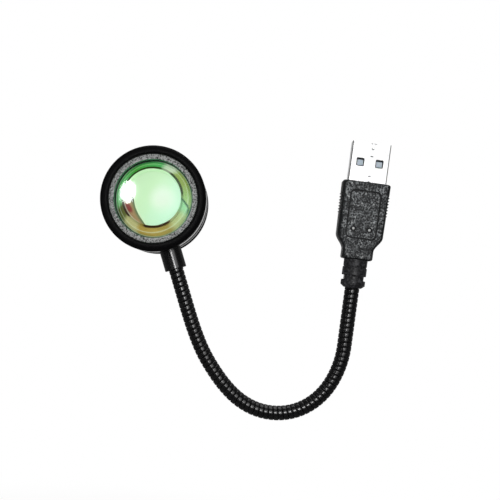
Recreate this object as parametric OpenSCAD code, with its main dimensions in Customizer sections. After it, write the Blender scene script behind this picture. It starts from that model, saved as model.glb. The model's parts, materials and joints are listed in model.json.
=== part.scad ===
// Sunset projection lamp: a plug with a gooseneck neck that carries a small round projector head.
// The plug axis is Z, the neck bends in the plane Y = 0 and the lens looks along -Y.
// The origin is the centre of the grip's front face, where the plug meets its socket.

/* [USB shell] */
// Width of the plug's metal shell
shell_w = 12.0; // [11.9:0.05:12.1]
// Thickness of the shell
shell_t = 4.5; // [4.4:0.05:4.6]
// Sheet thickness of the shell
shell_wall = 0.3; // [0.25:0.05:0.35]
// Outer corner radius of the shell
shell_corner = 0.7; // [0.5:0.05:0.9]
// Length of the shell in front of the grip
shell_reach = 12.4; // [11.8:0.1:13.5]
// Length of the shell inside the grip
shell_held = 6.3; // [5.5:0.1:7]
// Width of a window in the shell
window_w = 2.45; // [2:0.05:2.7]
// Length of a window in the shell
window_l = 2.6; // [2:0.05:3]
// Distance between the two windows' centres
window_spacing = 5.95; // [5.6:0.05:6.3]
// Distance from the shell's tip to the windows' centres
window_from_tip = 6.3; // [5.5:0.1:7]

/* [USB tongue and contacts] */
// Thickness of the tongue that carries the contacts
tongue_t = 1.85; // [1.7:0.05:1.95]
// Setback of the tongue behind the shell's tip
tongue_setback = 0.4; // [0.2:0.1:0.8]
// Length of the block that closes the shell behind the grip's front face
tongue_block_l = 5.3; // [4:0.1:5.5]
// Width of a contact strip
contact_w = 1.0; // [0.8:0.05:1.1]
// Thickness of a contact strip
contact_t = 0.25; // [0.15:0.05:0.3]
// Distance between the two power contacts
power_spacing = 7.0; // [6.8:0.1:7.2]
// Distance between the two data contacts
data_spacing = 2.0; // [1.8:0.1:2.2]
// Setback of the power contacts behind the shell's tip
power_setback = 1.4; // [1.2:0.1:1.8]
// Setback of the data contacts behind the shell's tip
data_setback = 2.4; // [2:0.1:3]
// Length of the contacts' solder tails
tail_l = 2.2; // [1.8:0.1:2.5]

/* [Grip] */
// Length of the moulded grip
grip_l = 24.1; // [23.2:0.1:26]
// Width of the grip at its front end
grip_w = 14.9; // [14.7:0.1:16]
// Width of the grip where its shoulder begins
grip_w_back = 14.3; // [14.2:0.1:15.4]
// Thickness of the grip
grip_t = 8.0; // [7.6:0.1:9]
// Width of the narrow tail
tail_w = 9.6; // [9:0.1:11]
// Thickness of the narrow tail
tail_t = 7.4; // [7.2:0.1:8]
// Distance from the front face to the shoulder
shoulder_at = 16.6; // [16:0.1:17.5]
// Length of the shoulder curve
shoulder_l = 4.6; // [3.5:0.1:5]
// Corner radius of the grip's cross-section
grip_corner = 1.5; // [1.2:0.1:2]
// Radius of the rounded front and back edges
grip_edge = 0.6; // [0.4:0.1:0.8]
// Width of the recessed panel on the face
panel_w = 9.5; // [8:0.1:10.5]
// Length of the recessed panel
panel_l = 14.9; // [12:0.1:15.2]
// Depth of the recessed panel
panel_depth = 0.25; // [0.15:0.05:0.35]
// Distance from the front face to the panel
panel_from_front = 2.8; // [1.5:0.1:3]
// Number of finger ridges on each side
ridge_count = 7; // [6:1:9]
// Distance between the ridges
ridge_pitch = 0.95; // [0.85:0.05:1]
// Distance from the front face to the first ridge
ridge_from_front = 4.1; // [3:0.1:5]
// Width of a ridge, which stands out by half of it
ridge_w = 0.4; // [0.3:0.05:0.5]

/* [Strain relief] */
// Length of the strain relief behind the grip
relief_l = 8.9; // [8.6:0.1:12]
// Diameter of the plain sleeve
relief_sleeve_d = 7.4; // [7.2:0.1:7.4]
// Diameter of the raised band and of the end ring
relief_band_d = 7.6; // [7.5:0.1:8]
// Length of the plain sleeve
relief_sleeve_l = 2.4; // [2:0.1:3]
// Length of the raised band
relief_band_l = 2.7; // [2:0.1:3]
// Length of the slots that let the relief flex
relief_slot_l = 1.4; // [1:0.1:1.6]
// Width of the rib that bridges the slots
relief_bridge_w = 5.9; // [5.6:0.1:6.2]
// Diameter of the chamfered end
relief_end_d = 5.5; // [5.3:0.1:5.8]

/* [Gooseneck] */
// Outer diameter of the neck over its ribs
neck_d = 4.6; // [4.5:0.05:4.7]
// Diameter of the neck in its grooves
neck_groove_d = 3.9; // [3.85:0.05:4]
// Diameter of the bore for the leads
neck_bore_d = 2.6; // [2.5:0.05:2.65]
// Length of one neck link along its centre line
link_l = 6.1; // [5.9:0.05:6.4]
// Number of ribs on a link
ribs_per_link = 4; // [4:1:4]
// Width of a rib
rib_w = 0.95; // [0.85:0.05:1]
// Width of the groove between two ribs
groove_w = 0.43; // [0.35:0.02:0.49]
// Diameter of the ball that joins a link to the next
ball_d = 3.24; // [3.2:0.02:3.28]
// Running clearance between a ball and its socket
ball_gap = 0.05; // [0.03:0.01:0.06]
// Length of neck held inside the plug
neck_held_plug = 14.0; // [13.5:0.1:14.2]
// Depth of neck held inside the head's ferrule
neck_held_head = 4.4; // [3.5:0.1:4.8]
// Diameter of one insulated lead
lead_d = 1.0; // [0.8:0.05:1.05]
// Distance of each lead from the neck's centre line
lead_offset = 0.6; // [0.55:0.01:0.65]

/* [Head] */
// Diameter of the head
head_d = 32.0; // [31.8:0.1:34]
// Length of the head from its front rim to its back
head_l = 25.0; // [24.8:0.1:27]
// Length of the front bezel's visible rim
bezel_rim_l = 4.0; // [3.6:0.1:4.4]
// Radius of the bezel's rounded front edge
bezel_edge = 1.1; // [0.5:0.1:1.2]
// Wall of the bezel round its bore
bezel_wall = 2.6; // [2.5:0.05:2.8]
// Chamfer round the mouth of the bezel's bore
bezel_chamfer = 0.4; // [0.2:0.1:0.5]
// Wall of the housing
housing_wall = 1.0; // [0.9:0.05:1.2]
// Thickness of the rear cover
rear_cover_t = 2.0; // [1.8:0.1:2.4]
// Radius of the rear cover's rounded edge
rear_edge = 0.8; // [0.4:0.1:1]
// Wall of the housing round its rear bore
rear_wall = 2.4; // [2.3:0.05:2.5]
// Length of the rear cover's spigot inside the housing
rear_spigot_l = 2.2; // [1.6:0.1:2.6]
// Wall of the rear cover's spigot
rear_spigot_wall = 1.0; // [0.8:0.1:1.2]

/* [Optics] */
// Recess of the retaining ring behind the bezel's rim
ring_recess = 1.2; // [0.8:0.1:1.6]
// Length of the retaining ring
ring_l = 2.0; // [1.6:0.1:2.2]
// Width of the retaining ring between its bore and its rim
ring_w = 2.0; // [1.8:0.1:2.2]
// Depth by which the retaining ring's face slopes towards the lens
ring_slope = 0.9; // [0.4:0.1:1.2]
// Thickness of the projection lens at its edge
lens_edge_t = 1.2; // [1:0.1:1.4]
// Height of the lens's dome above its edge
lens_dome = 1.6; // [1.2:0.1:1.9]
// Thickness of the gasket behind the lens
gasket_t = 0.4; // [0.3:0.05:0.6]
// Thickness of the colour filter
filter_t = 1.1; // [0.9:0.1:1.3]
// Length of the bezel's inner lip
lip_l = 1.0; // [0.8:0.1:1.2]
// Diameter of the reflector's mouth
reflector_mouth_d = 17.0; // [15:0.1:18]
// Diameter of the reflector's throat
reflector_throat_d = 6.0; // [5.4:0.1:6.4]
// Wall of the reflector
reflector_wall = 0.9; // [0.7:0.05:1]
// Thickness of the reflector's flange
reflector_flange_t = 1.0; // [0.8:0.1:1.2]

/* [Light source] */
// Thickness of the heat sink plate
sink_t = 1.8; // [1.5:0.1:2.2]
// Clearance between the lock nut's corners and the heat sink plate
sink_clear = 0.05; // [0.02:0.01:0.2]
// Diameter of the circuit board
board_d = 17.0; // [16.8:0.1:18]
// Thickness of the circuit board
board_t = 1.6; // [1.4:0.1:1.6]
// Diameter of the light-emitting disc
emitter_d = 5.0; // [4.5:0.1:5.3]
// Height of the emitter
emitter_h = 1.1; // [0.8:0.1:1.3]
// Thickness of the emitter's narrower front
emitter_rim = 0.3; // [0.2:0.05:0.4]
// Distance between the board's two screws
board_screw_spacing = 13.2; // [13:0.1:13.4]
// Diameter of the board screws' shanks
board_screw_d = 1.6; // [1.4:0.1:1.8]
// Height of the board screws' heads
board_screw_head_h = 0.9; // [0.7:0.1:1.1]
// Diameter of the board screws' heads
board_screw_head_d = 2.8; // [2.6:0.1:3]
// Number of screws in the rear cover
rear_screw_count = 3; // [3:1:6]
// Diameter of the rear screws' heads
rear_screw_head_d = 2.0; // [1.8:0.1:2]
// Diameter of the rear screws' shanks
rear_screw_d = 1.4; // [1.2:0.1:1.4]
// Depth of the seats of the rear screws' heads
rear_screw_seat = 0.8; // [0.6:0.1:1]
// Setback of the rear screws' heads below the rear cover's face
rear_screw_below = 0.15; // [0.05:0.05:0.3]
// Distance from the tips of the rear screws to the heat sink plate
rear_screw_clear = 0.9; // [0.6:0.1:1.5]
// Length of the series resistor
resistor_l = 2.0; // [1.6:0.1:2.2]
// Width of the series resistor
resistor_w = 1.25; // [0.8:0.05:1.4]
// Height of the series resistor
resistor_h = 0.55; // [0.4:0.05:0.6]
// Distance from the series resistor to the board's edge
resistor_inset = 2.05; // [1.5:0.05:2.4]

/* [Ferrule] */
// Diameter of the ferrule that holds the neck
ferrule_d = 6.8; // [6:0.1:7]
// Length of the ferrule from the head's side to its open end
ferrule_l = 6.0; // [5.8:0.1:7]
// Diameter of the ferrule's threaded stud
stud_d = 4.0; // [3.8:0.1:4.4]
// Width of the lock nut across its flats
nut_af = 6.5; // [6.2:0.1:6.8]
// Thickness of the lock nut
nut_t = 1.8; // [1.5:0.1:2.1]
// Thickness of the housing's flat pad under the lock nut
nut_pad_t = 1.1; // [1:0.1:1.3]
// Margin of the pad round the lock nut
nut_pad_margin = 0.7; // [0.5:0.1:0.9]

/* [Hidden] */
// Bend of each link at rest, from the plug to the head, in degrees
BENDS = [0, 0, 0, 12, 12, 16, 18, 19, 18, 18, 15, 9, 5, 8, 4, 2, 0, 0];
LINKS = len(BENDS);
FIT = 0.02;           // clearance of a seat that doesn't move
OVER = 0.5;           // length by which a cut runs past the face it opens
CABLE_SIDES = 8;
$fn = 64;

core_grip = 1.5;      // length of shell that the core holds
core_side = 0.65;     // core beside the shell
core_cheek = 0.7;     // core above and below the shell
core_corner = 1.0;
core_inset = 1.0;     // core's shoulder in front of the grip's
core_tail_w = 8.2;
core_tail_t = 5.6;
anchor_l = 2.0;       // the strain relief's root inside the grip
anchor_wall = 0.65;
crimp_wall = 0.5;
crimp_lip = 0.6;
crimp_gap = 0.1;      // between the neck's end and the crimp's lip
lead_hole_d = 3.2;
cavity_margin = 1.7;  // free space beside the contacts' tails
cavity_t = 3.4;
cavity_corner = 0.6;
tongue_relief = 0.4;  // flat along the tongue's edges, clear of the shell's round corners
window_corner = 0.3;
panel_corner = 1.2;
tail_rounding = 0.5;  // by which the grip's corners grow towards its tail
contact_sunk = 0.1;   // how deep a contact lies in the tongue
solder_d = 1.5;
solder_l = 2.0;
solder_over = 1.2;    // length of tail inside the solder
ring_land = 0.2;      // flat rim of the retaining ring
gasket_lip = 0.2;     // by which the gasket stays clear of the view
optic_gap = 0.1;      // round the lens, the gasket and the filter
reflector_gap = 0.1;  // round the reflector's flange
throat_l = 0.1;       // short straight stretch of the reflector's throat
rear_screw_inset = 0.05;
rear_hole_past = 0.4; // hole beyond the tip of a rear screw
screw_play = 0.1;     // by which a clearance hole is wider than its screw
board_tip_gap = 0.2;  // from a board screw's tip to the heat sink's back
seat_depth = 0.06;
stud_past_nut = 0.5;
pocket_gap = 0.1;
board_pad_x = 1.6;
board_pad_r = 0.8;
pad_from_edge = 1.3;  // from the board's edge to the leads' ends
board_lead_gap = 0.15;
solder_rise = 0.2;    // solder above the leads' middle

function two_digits(n) = n < 10 ? str("0", n) : str(n);
function link_name(i) = str("neck_link_", two_digits(i + 1));

// ---------------------------------------------------------------- colours
BLACK = [0.06, 0.06, 0.065];
DARK = [0.16, 0.16, 0.17];
STEEL = [0.86, 0.87, 0.88];
GOLD = [0.85, 0.68, 0.32];
SOLDER = [0.72, 0.73, 0.74];
PALE = [0.82, 0.88, 0.93];
GREY = [0.5, 0.51, 0.52];

// ---------------------------------------------------------------- sizes worked out from the above
grip_back = -grip_l;
relief_end = grip_back - relief_l;
shell_back = -shell_held;
shell_in_w = shell_w - 2 * shell_wall;
shell_in_t = shell_t - 2 * shell_wall;

core_front = shell_back + core_grip;
core_w = shell_w + 2 * core_side;
core_t = shell_t + 2 * core_cheek;
core_shoulder = -shoulder_at + core_inset;
anchor_d = neck_d + 2 * anchor_wall;
crimp_d = neck_d + 2 * crimp_wall;
crimp_back = grip_back + anchor_l;
crimp_front = relief_end + neck_held_plug + crimp_lip + crimp_gap;
cavity_w = power_spacing + 2 * cavity_margin;
contact_y = -shell_in_t / 2 + FIT + tongue_t;   // the tongue's bare face
contact_mid = contact_y - contact_sunk + contact_t / 2;
solder_front = shell_back - tail_l + solder_over;
solder_back = solder_front - solder_l;

head_r = head_d / 2;
front = -head_l / 2;
back = head_l / 2;
rim_back = front + bezel_rim_l;
bore_r = head_r - housing_wall;
bezel_bore_r = head_r - bezel_wall;
ring_bore_r = bezel_bore_r - ring_w;
ring_front = front + ring_recess;
lens_rim = ring_front + ring_l;
gasket_front = lens_rim + lens_edge_t;
filter_front = gasket_front + gasket_t;
lip_front = filter_front + filter_t;
bezel_back = lip_front + lip_l;
optic_r = bezel_bore_r - optic_gap;
dome_r = ring_bore_r;
dome_sphere_r = (dome_r * dome_r + lens_dome * lens_dome) / (2 * lens_dome);
sink_at = nut_af / 2 / cos(30) + sink_clear;
sink_back = sink_at + sink_t;
board_front = sink_at - board_t;
emitter_front = board_front - emitter_h;
rear_bore_r = head_r - rear_wall;
housing_back = back - rear_cover_t;
rear_screw_r = rear_bore_r + rear_wall / 2 - rear_screw_inset;
rear_screw_tip = sink_back + rear_screw_clear;

ferrule_reach = head_r + ferrule_l;
seat_z = sqrt(head_r * head_r - ferrule_d * ferrule_d / 4) - seat_depth;   // flat spot under the ferrule
pad_z = bore_r - nut_pad_t;              // flat inside the housing, under the lock nut
pad_w = nut_af + 2 * nut_pad_margin;
stud_end = pad_z - nut_t - stud_past_nut;
pocket_z = ferrule_reach - neck_held_head - pocket_gap;

board_pad = [board_pad_x, pad_from_edge - board_d / 2];   // where a lead ends over the board
board_lead_y = board_front - lead_d / 2 - board_lead_gap;

// ---------------------------------------------------------------- the neck's centre line
function total(list, n, i = 0) = i >= n ? 0 : list[i] + total(list, n, i + 1);
function turned(v, a) = [v.x * cos(a) + v.z * sin(a), v.y, v.z * cos(a) - v.x * sin(a)];
function bend_r(bend) = link_l * 180 / (PI * bend);
function arc_point(bend, s) = bend == 0
    ? [0, 0, -s]
    : [bend_r(bend) * (cos(bend * s / link_l) - 1), 0, -bend_r(bend) * sin(bend * s / link_l)];
function heading(i) = total(BENDS, i);
function link_start(i) = i == 0
    ? [0, 0, relief_end]
    : link_start(i - 1) + turned(arc_point(BENDS[i - 1], link_l), heading(i - 1));
function neck_point(i, s, y) = link_start(i) + turned(arc_point(BENDS[i], s) + [0, y, 0], heading(i));

head_turn = heading(LINKS) - 180;
head_centre = link_start(LINKS) + turned([0, 0, ferrule_reach], head_turn);
function head_point(v) = head_centre + turned(v, head_turn);

module at_link(i) {
    translate(link_start(i)) rotate([0, heading(i), 0]) children();
}

module at_head() {
    translate(head_centre) rotate([0, head_turn, 0]) children();
}

// Turns a lathe frame, whose Z is the optical axis, into the head's frame
module on_optical_axis() {
    rotate([-90, 0, 0]) children();
}

// ---------------------------------------------------------------- shared shapes
// Rounded rectangle centred on the origin
module soft_rect(w, t, r) {
    square([w - 2 * r, t], center = true);
    square([w, t - 2 * r], center = true);
    for (x = [-1, 1], y = [-1, 1]) translate([x * (w / 2 - r), y * (t / 2 - r)]) circle(r);
}

// Upright bar with a rounded rectangular section, from one height down to another
module soft_bar(w, t, r, top, bottom) {
    translate([0, 0, bottom]) linear_extrude(top - bottom) soft_rect(w, t, r);
}

// Round bar along Z from one height up to another
module rod(d, from, to) {
    translate([0, 0, from]) cylinder(d = d, h = to - from);
}

// Tube along Z
module sleeve(outer_d, inner_d, from, to) {
    difference() {
        rod(outer_d, from, to);
        rod(inner_d, from - OVER, to + OVER);
    }
}

// Round bar that follows one link's arc between two distances along it
module link_bar(bend, d, from, to) {
    if (bend == 0) rod(d, -to, -from);
    else translate([-bend_r(bend), 0, 0]) rotate([-90, 0, 0]) rotate([0, 0, from * bend / link_l])
        rotate_extrude(angle = (to - from) * bend / link_l) translate([bend_r(bend), 0]) circle(d = d);
}

// Round cable swept along a list of points; its cross-sections keep one side towards Y
function unit(v) = v / norm(v);
function tangent(p, i) = unit(p[min(i + 1, len(p) - 1)] - p[max(i - 1, 0)]);
function ring(p, i, r) =
    let (t = tangent(p, i), a = unit(cross([0, 1, 0], t)), b = cross(t, a))
    [for (k = [0 : CABLE_SIDES - 1]) p[i] + r * (cos(360 * k / CABLE_SIDES) * a + sin(360 * k / CABLE_SIDES) * b)];

module cable(p, d) {
    n = CABLE_SIDES;
    rings = len(p);
    points = [for (i = [0 : rings - 1]) each ring(p, i, d / 2)];
    sides = [for (i = [0 : rings - 2], k = [0 : n - 1], half = [0, 1])
        let (a = i * n + k, b = i * n + (k + 1) % n)
        half == 0 ? [a, a + n, b] : [b, a + n, b + n]];
    first = [[for (k = [0 : n - 1]) k]];
    last = [[for (k = [n - 1 : -1 : 0]) (rings - 1) * n + k]];
    polyhedron(points = points, faces = concat(sides, first, last));
}

// Loft down through rounded rectangular sections; each row is [height, width, thickness, corner radius]
CORNER_STEPS = 6;
function section(row) = [for (q = [0 : 3], k = [0 : CORNER_STEPS])
    let (a = 90 * q + 90 * k / CORNER_STEPS,
         sx = (q == 0 || q == 3) ? 1 : -1,
         sy = q < 2 ? -1 : 1)
    [sx * (row[1] / 2 - row[3]) + row[3] * cos(a), sy * (row[2] / 2 - row[3]) - row[3] * sin(a), row[0]]];

module loft(rows) {
    n = 4 * (CORNER_STEPS + 1);
    points = [for (row = rows) each section(row)];
    sides = [for (i = [0 : len(rows) - 2], k = [0 : n - 1], half = [0, 1])
        let (a = i * n + k, b = i * n + (k + 1) % n)
        half == 0 ? [a, a + n, b] : [b, a + n, b + n]];
    first = [[for (k = [0 : n - 1]) k]];
    last = [[for (k = [n - 1 : -1 : 0]) (len(rows) - 1) * n + k]];
    polyhedron(points = points, faces = concat(sides, first, last));
}

// ---------------------------------------------------------------- the plug
module usb_shell() {
    color(STEEL) difference() {
        soft_bar(shell_w, shell_t, shell_corner, shell_reach, shell_back);
        soft_bar(shell_in_w, shell_in_t, shell_corner - shell_wall, shell_reach + OVER, shell_back - OVER);
        for (x = [-1, 1]) translate([x * window_spacing / 2, shell_t, shell_reach - window_from_tip])
            rotate([90, 0, 0]) linear_extrude(2 * shell_t) soft_rect(window_w, window_l, window_corner);
    }
}

// One contact strip with its solder tail
module contact(x, setback) {
    translate([x - contact_w / 2, contact_mid - contact_t / 2, shell_back - tail_l])
        cube([contact_w, contact_t, shell_reach - setback - shell_back + tail_l]);
}

module contact_pair(spacing, setback) {
    for (s = [-1, 1]) contact(s * spacing / 2, setback);
}

module usb_tongue() {
    block_top = shell_back + tongue_block_l;
    color(PALE) difference() {
        union() {
            translate([-shell_in_w / 2 + FIT, -shell_in_t / 2 + FIT, shell_back])
                cube([shell_in_w - 2 * FIT, tongue_t, shell_reach - tongue_setback - shell_back]);
            translate([-shell_in_w / 2 + FIT, -shell_in_t / 2 + FIT, shell_back])
                cube([shell_in_w - 2 * FIT, shell_in_t - 2 * FIT, block_top - shell_back]);
        }
        contact_pair(power_spacing, power_setback);
        contact_pair(data_spacing, data_setback);
        for (x = [-1, 1], y = [-1, 1])                    // clear of the shell's round corners
            translate([x * shell_in_w / 2, y * shell_in_t / 2, shell_back - OVER]) rotate(45)
                translate([-tongue_relief, -tongue_relief, 0])
                    cube([2 * tongue_relief, 2 * tongue_relief, shell_reach - shell_back + 2 * OVER]);
    }
}

module usb_power_contacts() {
    color(GOLD) contact_pair(power_spacing, power_setback);
}

module usb_data_contacts() {
    color(GOLD) contact_pair(data_spacing, data_setback);
}

module plug_solder_joints() {
    color(SOLDER) for (s = [-1, 1]) difference() {
        translate([s * power_spacing / 2, contact_mid, 0]) rod(solder_d, solder_back, solder_front);
        contact(s * power_spacing / 2, power_setback);
    }
}

// The core's outer shape, which is also the grip's pocket
module core_shape() {
    soft_bar(core_w, core_t, core_corner, core_front, core_shoulder);
    soft_bar(core_tail_w, core_tail_t, core_corner, core_shoulder, crimp_front);
}

module plug_core() {
    color(PALE) difference() {
        core_shape();
        soft_bar(shell_w, shell_t, shell_corner, core_front + OVER, shell_back);
        soft_bar(cavity_w, cavity_t, cavity_corner, shell_back + OVER, core_shoulder);
        rod(lead_hole_d, crimp_front - OVER, core_shoulder + OVER);
    }
}

// Half-width of the grip's shoulder as a smooth step from 0 to 1
function ease(u) = u * u * (3 - 2 * u);
SHOULDER_STEPS = 8;
grip_rows = concat(
    [for (k = [0 : 3]) let (a = 90 * k / 3)
        [-grip_edge * (1 - cos(a)), grip_w - 2 * grip_edge * (1 - sin(a)),
         grip_t - 2 * grip_edge * (1 - sin(a)), grip_corner]],
    [for (k = [0 : SHOULDER_STEPS]) let (u = k / SHOULDER_STEPS)
        [-shoulder_at - u * shoulder_l, grip_w_back + (tail_w - grip_w_back) * ease(u),
         grip_t + (tail_t - grip_t) * ease(u), grip_corner + tail_rounding * u]],
    [for (k = [0 : 2]) let (a = 90 * k / 2)
        [grip_back + grip_edge * (1 - sin(a)), tail_w - 2 * grip_edge * (1 - cos(a)),
         tail_t - 2 * grip_edge * (1 - cos(a)), grip_corner + tail_rounding]]);

// Width of the grip's tapering sides at a distance behind the front face
function side_w(d) = grip_w + (grip_w_back - grip_w) * (d - grip_edge) / (shoulder_at - grip_edge);

module plug_grip() {
    color(DARK) difference() {
        union() {
            loft(grip_rows);
            for (i = [0 : ridge_count - 1], s = [-1, 1])
                let (d = ridge_from_front + i * ridge_pitch)
                translate([s * (side_w(d) / 2), -(grip_t / 2 - grip_corner), -d]) rotate([-90, 0, 0])
                    cylinder(d = ridge_w, h = grip_t - 2 * grip_corner);
        }
        translate([0, -grip_t / 2 + panel_depth, -panel_from_front - panel_l / 2]) rotate([90, 0, 0])
            linear_extrude(panel_depth + OVER) soft_rect(panel_w, panel_l, panel_corner);
        soft_bar(shell_w, shell_t, shell_corner, OVER, core_front - OVER);
        core_shape();
        rod(crimp_d, crimp_back, crimp_front);
        rod(anchor_d, grip_back - OVER, crimp_back);
    }
}

module strain_relief() {
    band_top = grip_back - relief_sleeve_l;
    slot_top = band_top - relief_band_l;
    slot_bottom = slot_top - relief_slot_l;
    chamfer_l = (relief_band_d - relief_end_d) / 2 * 0.8;
    color(DARK) difference() {
        union() {
            rod(anchor_d, grip_back - OVER, crimp_back);
            rod(relief_sleeve_d, band_top, grip_back);
            rod(relief_band_d, relief_end + chamfer_l, band_top);
            translate([0, 0, relief_end])
                cylinder(d1 = relief_end_d, d2 = relief_band_d, h = chamfer_l);
        }
        rod(neck_d + 2 * FIT, relief_end - OVER, crimp_back + OVER);
        for (s = [-1, 1]) translate([s * (relief_bridge_w / 2 + relief_band_d / 2), 0, (slot_top + slot_bottom) / 2])
            cube([relief_band_d, 2 * relief_band_d, slot_top - slot_bottom], center = true);
    }
}

module neck_end_crimp() {
    color(STEEL) difference() {
        rod(crimp_d, crimp_back, crimp_front);
        rod(neck_d + 2 * FIT, crimp_back - OVER, crimp_front - crimp_lip);
        rod(neck_bore_d, crimp_back, crimp_front + OVER);
    }
}

// ---------------------------------------------------------------- the neck
// Half of the gap between two links, on each side of the joint's centre
rib_pitch = rib_w + groove_w;
half_gap = (link_l - ribs_per_link * rib_w - (ribs_per_link - 1) * groove_w) / 2;

// Ribs on a link from a first distance along it, as many as asked
module ribs(bend, from, count) {
    for (k = [0 : count - 1]) link_bar(bend, neck_d, from + k * rib_pitch, from + k * rib_pitch + rib_w);
}

module neck_link(i) {
    bend = BENDS[i];
    first = i == 0;
    last = i == LINKS - 1;
    held_ribs_plug = floor((neck_held_plug - rib_w) / rib_pitch);
    held_ribs_head = floor((neck_held_head - half_gap) / rib_pitch);
    from = first ? -neck_held_plug : half_gap;
    to = last ? link_l + neck_held_head : link_l - half_gap;
    color(BLACK) at_link(i) difference() {
        union() {
            link_bar(bend, neck_groove_d, from, to);
            ribs(bend, half_gap, ribs_per_link);
            if (first) ribs(bend, half_gap - held_ribs_plug * rib_pitch, held_ribs_plug);
            if (last) ribs(bend, link_l - half_gap + groove_w, held_ribs_head);
            if (!last) translate(arc_point(bend, link_l)) sphere(d = ball_d);
        }
        link_bar(bend, neck_bore_d, from - OVER, to + half_gap + ball_d / 2 + OVER);
        if (!first) sphere(d = ball_d + 2 * ball_gap);
    }
}

// ---------------------------------------------------------------- the two leads
STATIONS = 2;                             // cross-sections of a lead along each link

// Route of one lead; side is 1 for the positive lead and -1 for the negative one
function lead_route(side) =
    let (tail = [side * power_spacing / 2, contact_mid, solder_back], y = side * lead_offset)
    concat(
        [tail, tail - [0, 0, 1.0], [side * 2.6, side * 0.1 + contact_mid, solder_back - 2.6],
         [side * 1.2, side * 0.35, core_shoulder + 1.2], [side * 0.35, side * 0.6, core_shoulder - 0.6],
         [0, y, crimp_front], [0, y, crimp_front - 3]],
        [for (z = [crimp_back - 1 : -3 : relief_end + 2]) [0, y, z]],
        [for (i = [0 : LINKS - 1], k = [0 : STATIONS - 1]) neck_point(i, k * link_l / STATIONS, y)],
        [for (z = [ferrule_reach, pocket_z, (pocket_z + stud_end) / 2, stud_end + 0.2]) head_point([0, y, -z])],
        [head_point([side * 0.7, (y + board_lead_y) / 2, board_pad[1] - 2.6]),
         head_point([side * (board_pad.x - 0.1), board_lead_y, board_pad[1] - 1.0]),
         head_point([side * board_pad.x, board_lead_y, board_pad[1]])]);

module lead_positive() {
    color([0.75, 0.08, 0.06]) cable(lead_route(1), lead_d);
}

module lead_negative() {
    color(BLACK) cable(lead_route(-1), lead_d);
}

// ---------------------------------------------------------------- the head
module neck_ferrule() {
    color(BLACK) at_head() difference() {
        union() {
            rod(ferrule_d, -ferrule_reach, -seat_z);
            rod(stud_d, -seat_z - OVER, -stud_end);
        }
        rod(neck_d + 2 * FIT, -ferrule_reach - OVER, -pocket_z);
        rod(neck_bore_d, -pocket_z - OVER, -stud_end + OVER);
    }
}

module neck_lock_nut() {
    color(GOLD) at_head() difference() {
        rotate(30) translate([0, 0, -pad_z]) cylinder(d = nut_af / cos(30), h = nut_t, $fn = 6);
        rod(stud_d + 2 * FIT, -pad_z - OVER, -pad_z + nut_t + OVER);
    }
}

module head_housing() {
    color(BLACK) at_head() difference() {
        union() {
            on_optical_axis() difference() {
                rod(head_d, rim_back, housing_back);
                rod(2 * bore_r, rim_back - OVER, sink_back);
                rod(2 * rear_bore_r, sink_back - OVER, housing_back + OVER);
            }
            intersection() {                              // flat pad under the lock nut
                on_optical_axis() rod(2 * bore_r + housing_wall, -pad_w, pad_w);
                translate([-pad_w / 2, -pad_w / 2, -bore_r - OVER])
                    cube([pad_w, pad_w / 2 + sink_at - FIT, bore_r + OVER - pad_z]);
            }
        }
        rod(ferrule_d + 2 * FIT, -head_d, -seat_z);
        rod(stud_d + 2 * FIT, -head_d, -pad_z + OVER);
        on_optical_axis() rear_screw_places()
            rod(rear_screw_d, rear_screw_tip - rear_hole_past, housing_back + OVER);
    }
}

module front_bezel() {
    color(BLACK) at_head() on_optical_axis() difference() {
        union() {
            rotate_extrude() union() {
                translate([0, front]) square([head_r - bezel_edge, bezel_rim_l]);
                translate([0, front + bezel_edge]) square([head_r, bezel_rim_l - bezel_edge]);
                translate([head_r - bezel_edge, front + bezel_edge]) circle(bezel_edge);
            }
            rod(2 * bore_r - 2 * FIT, rim_back - OVER, bezel_back);
        }
        rod(2 * bezel_bore_r, front - OVER, lip_front);
        rod(2 * ring_bore_r, lip_front - OVER, bezel_back + OVER);
        translate([0, 0, front - OVER])                   // chamfer round the bore's mouth
            cylinder(r1 = bezel_bore_r + bezel_chamfer + OVER, r2 = bezel_bore_r, h = bezel_chamfer + OVER);
    }
}

module lens_retaining_ring() {
    color(GREY) at_head() on_optical_axis() difference() {
        sleeve(2 * bezel_bore_r - 2 * FIT, 2 * ring_bore_r, ring_front, lens_rim);
        translate([0, 0, ring_front])                     // the face slopes towards the lens
            cylinder(r1 = bezel_bore_r - ring_land, r2 = ring_bore_r, h = ring_slope);
        rod(2 * (bezel_bore_r - ring_land), ring_front - OVER, ring_front);
    }
}

module projection_lens() {
    color([0.75, 0.95, 0.85, 0.5]) at_head() on_optical_axis() union() {
        rod(2 * optic_r, lens_rim, gasket_front);
        intersection() {
            translate([0, 0, lens_rim - lens_dome + dome_sphere_r]) sphere(dome_sphere_r, $fn = 128);
            rod(2 * dome_r - 4 * FIT, lens_rim - 2 * lens_dome, lens_rim + OVER);
        }
    }
}

module lens_gasket() {
    color(BLACK) at_head() on_optical_axis()
        sleeve(2 * optic_r, 2 * (ring_bore_r + gasket_lip), gasket_front, filter_front);
}

module colour_filter() {
    color([0.95, 0.6, 0.2, 0.6]) at_head() on_optical_axis() rod(2 * optic_r, filter_front, lip_front);
}

module reflector_cup() {
    mouth_r = reflector_mouth_d / 2;
    throat_r = reflector_throat_d / 2;
    color(STEEL) at_head() on_optical_axis() difference() {
        union() {
            rod(2 * (bore_r - reflector_gap), bezel_back, bezel_back + reflector_flange_t);
            translate([0, 0, bezel_back]) cylinder(
                r1 = mouth_r + reflector_wall, r2 = throat_r + reflector_wall, h = board_front - bezel_back);
        }
        translate([0, 0, bezel_back]) cylinder(
            r1 = mouth_r, r2 = throat_r, h = board_front - bezel_back);
        rod(2 * mouth_r, bezel_back - OVER, bezel_back);
        rod(2 * throat_r, board_front - throat_l, board_front + OVER);
    }
}

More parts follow.
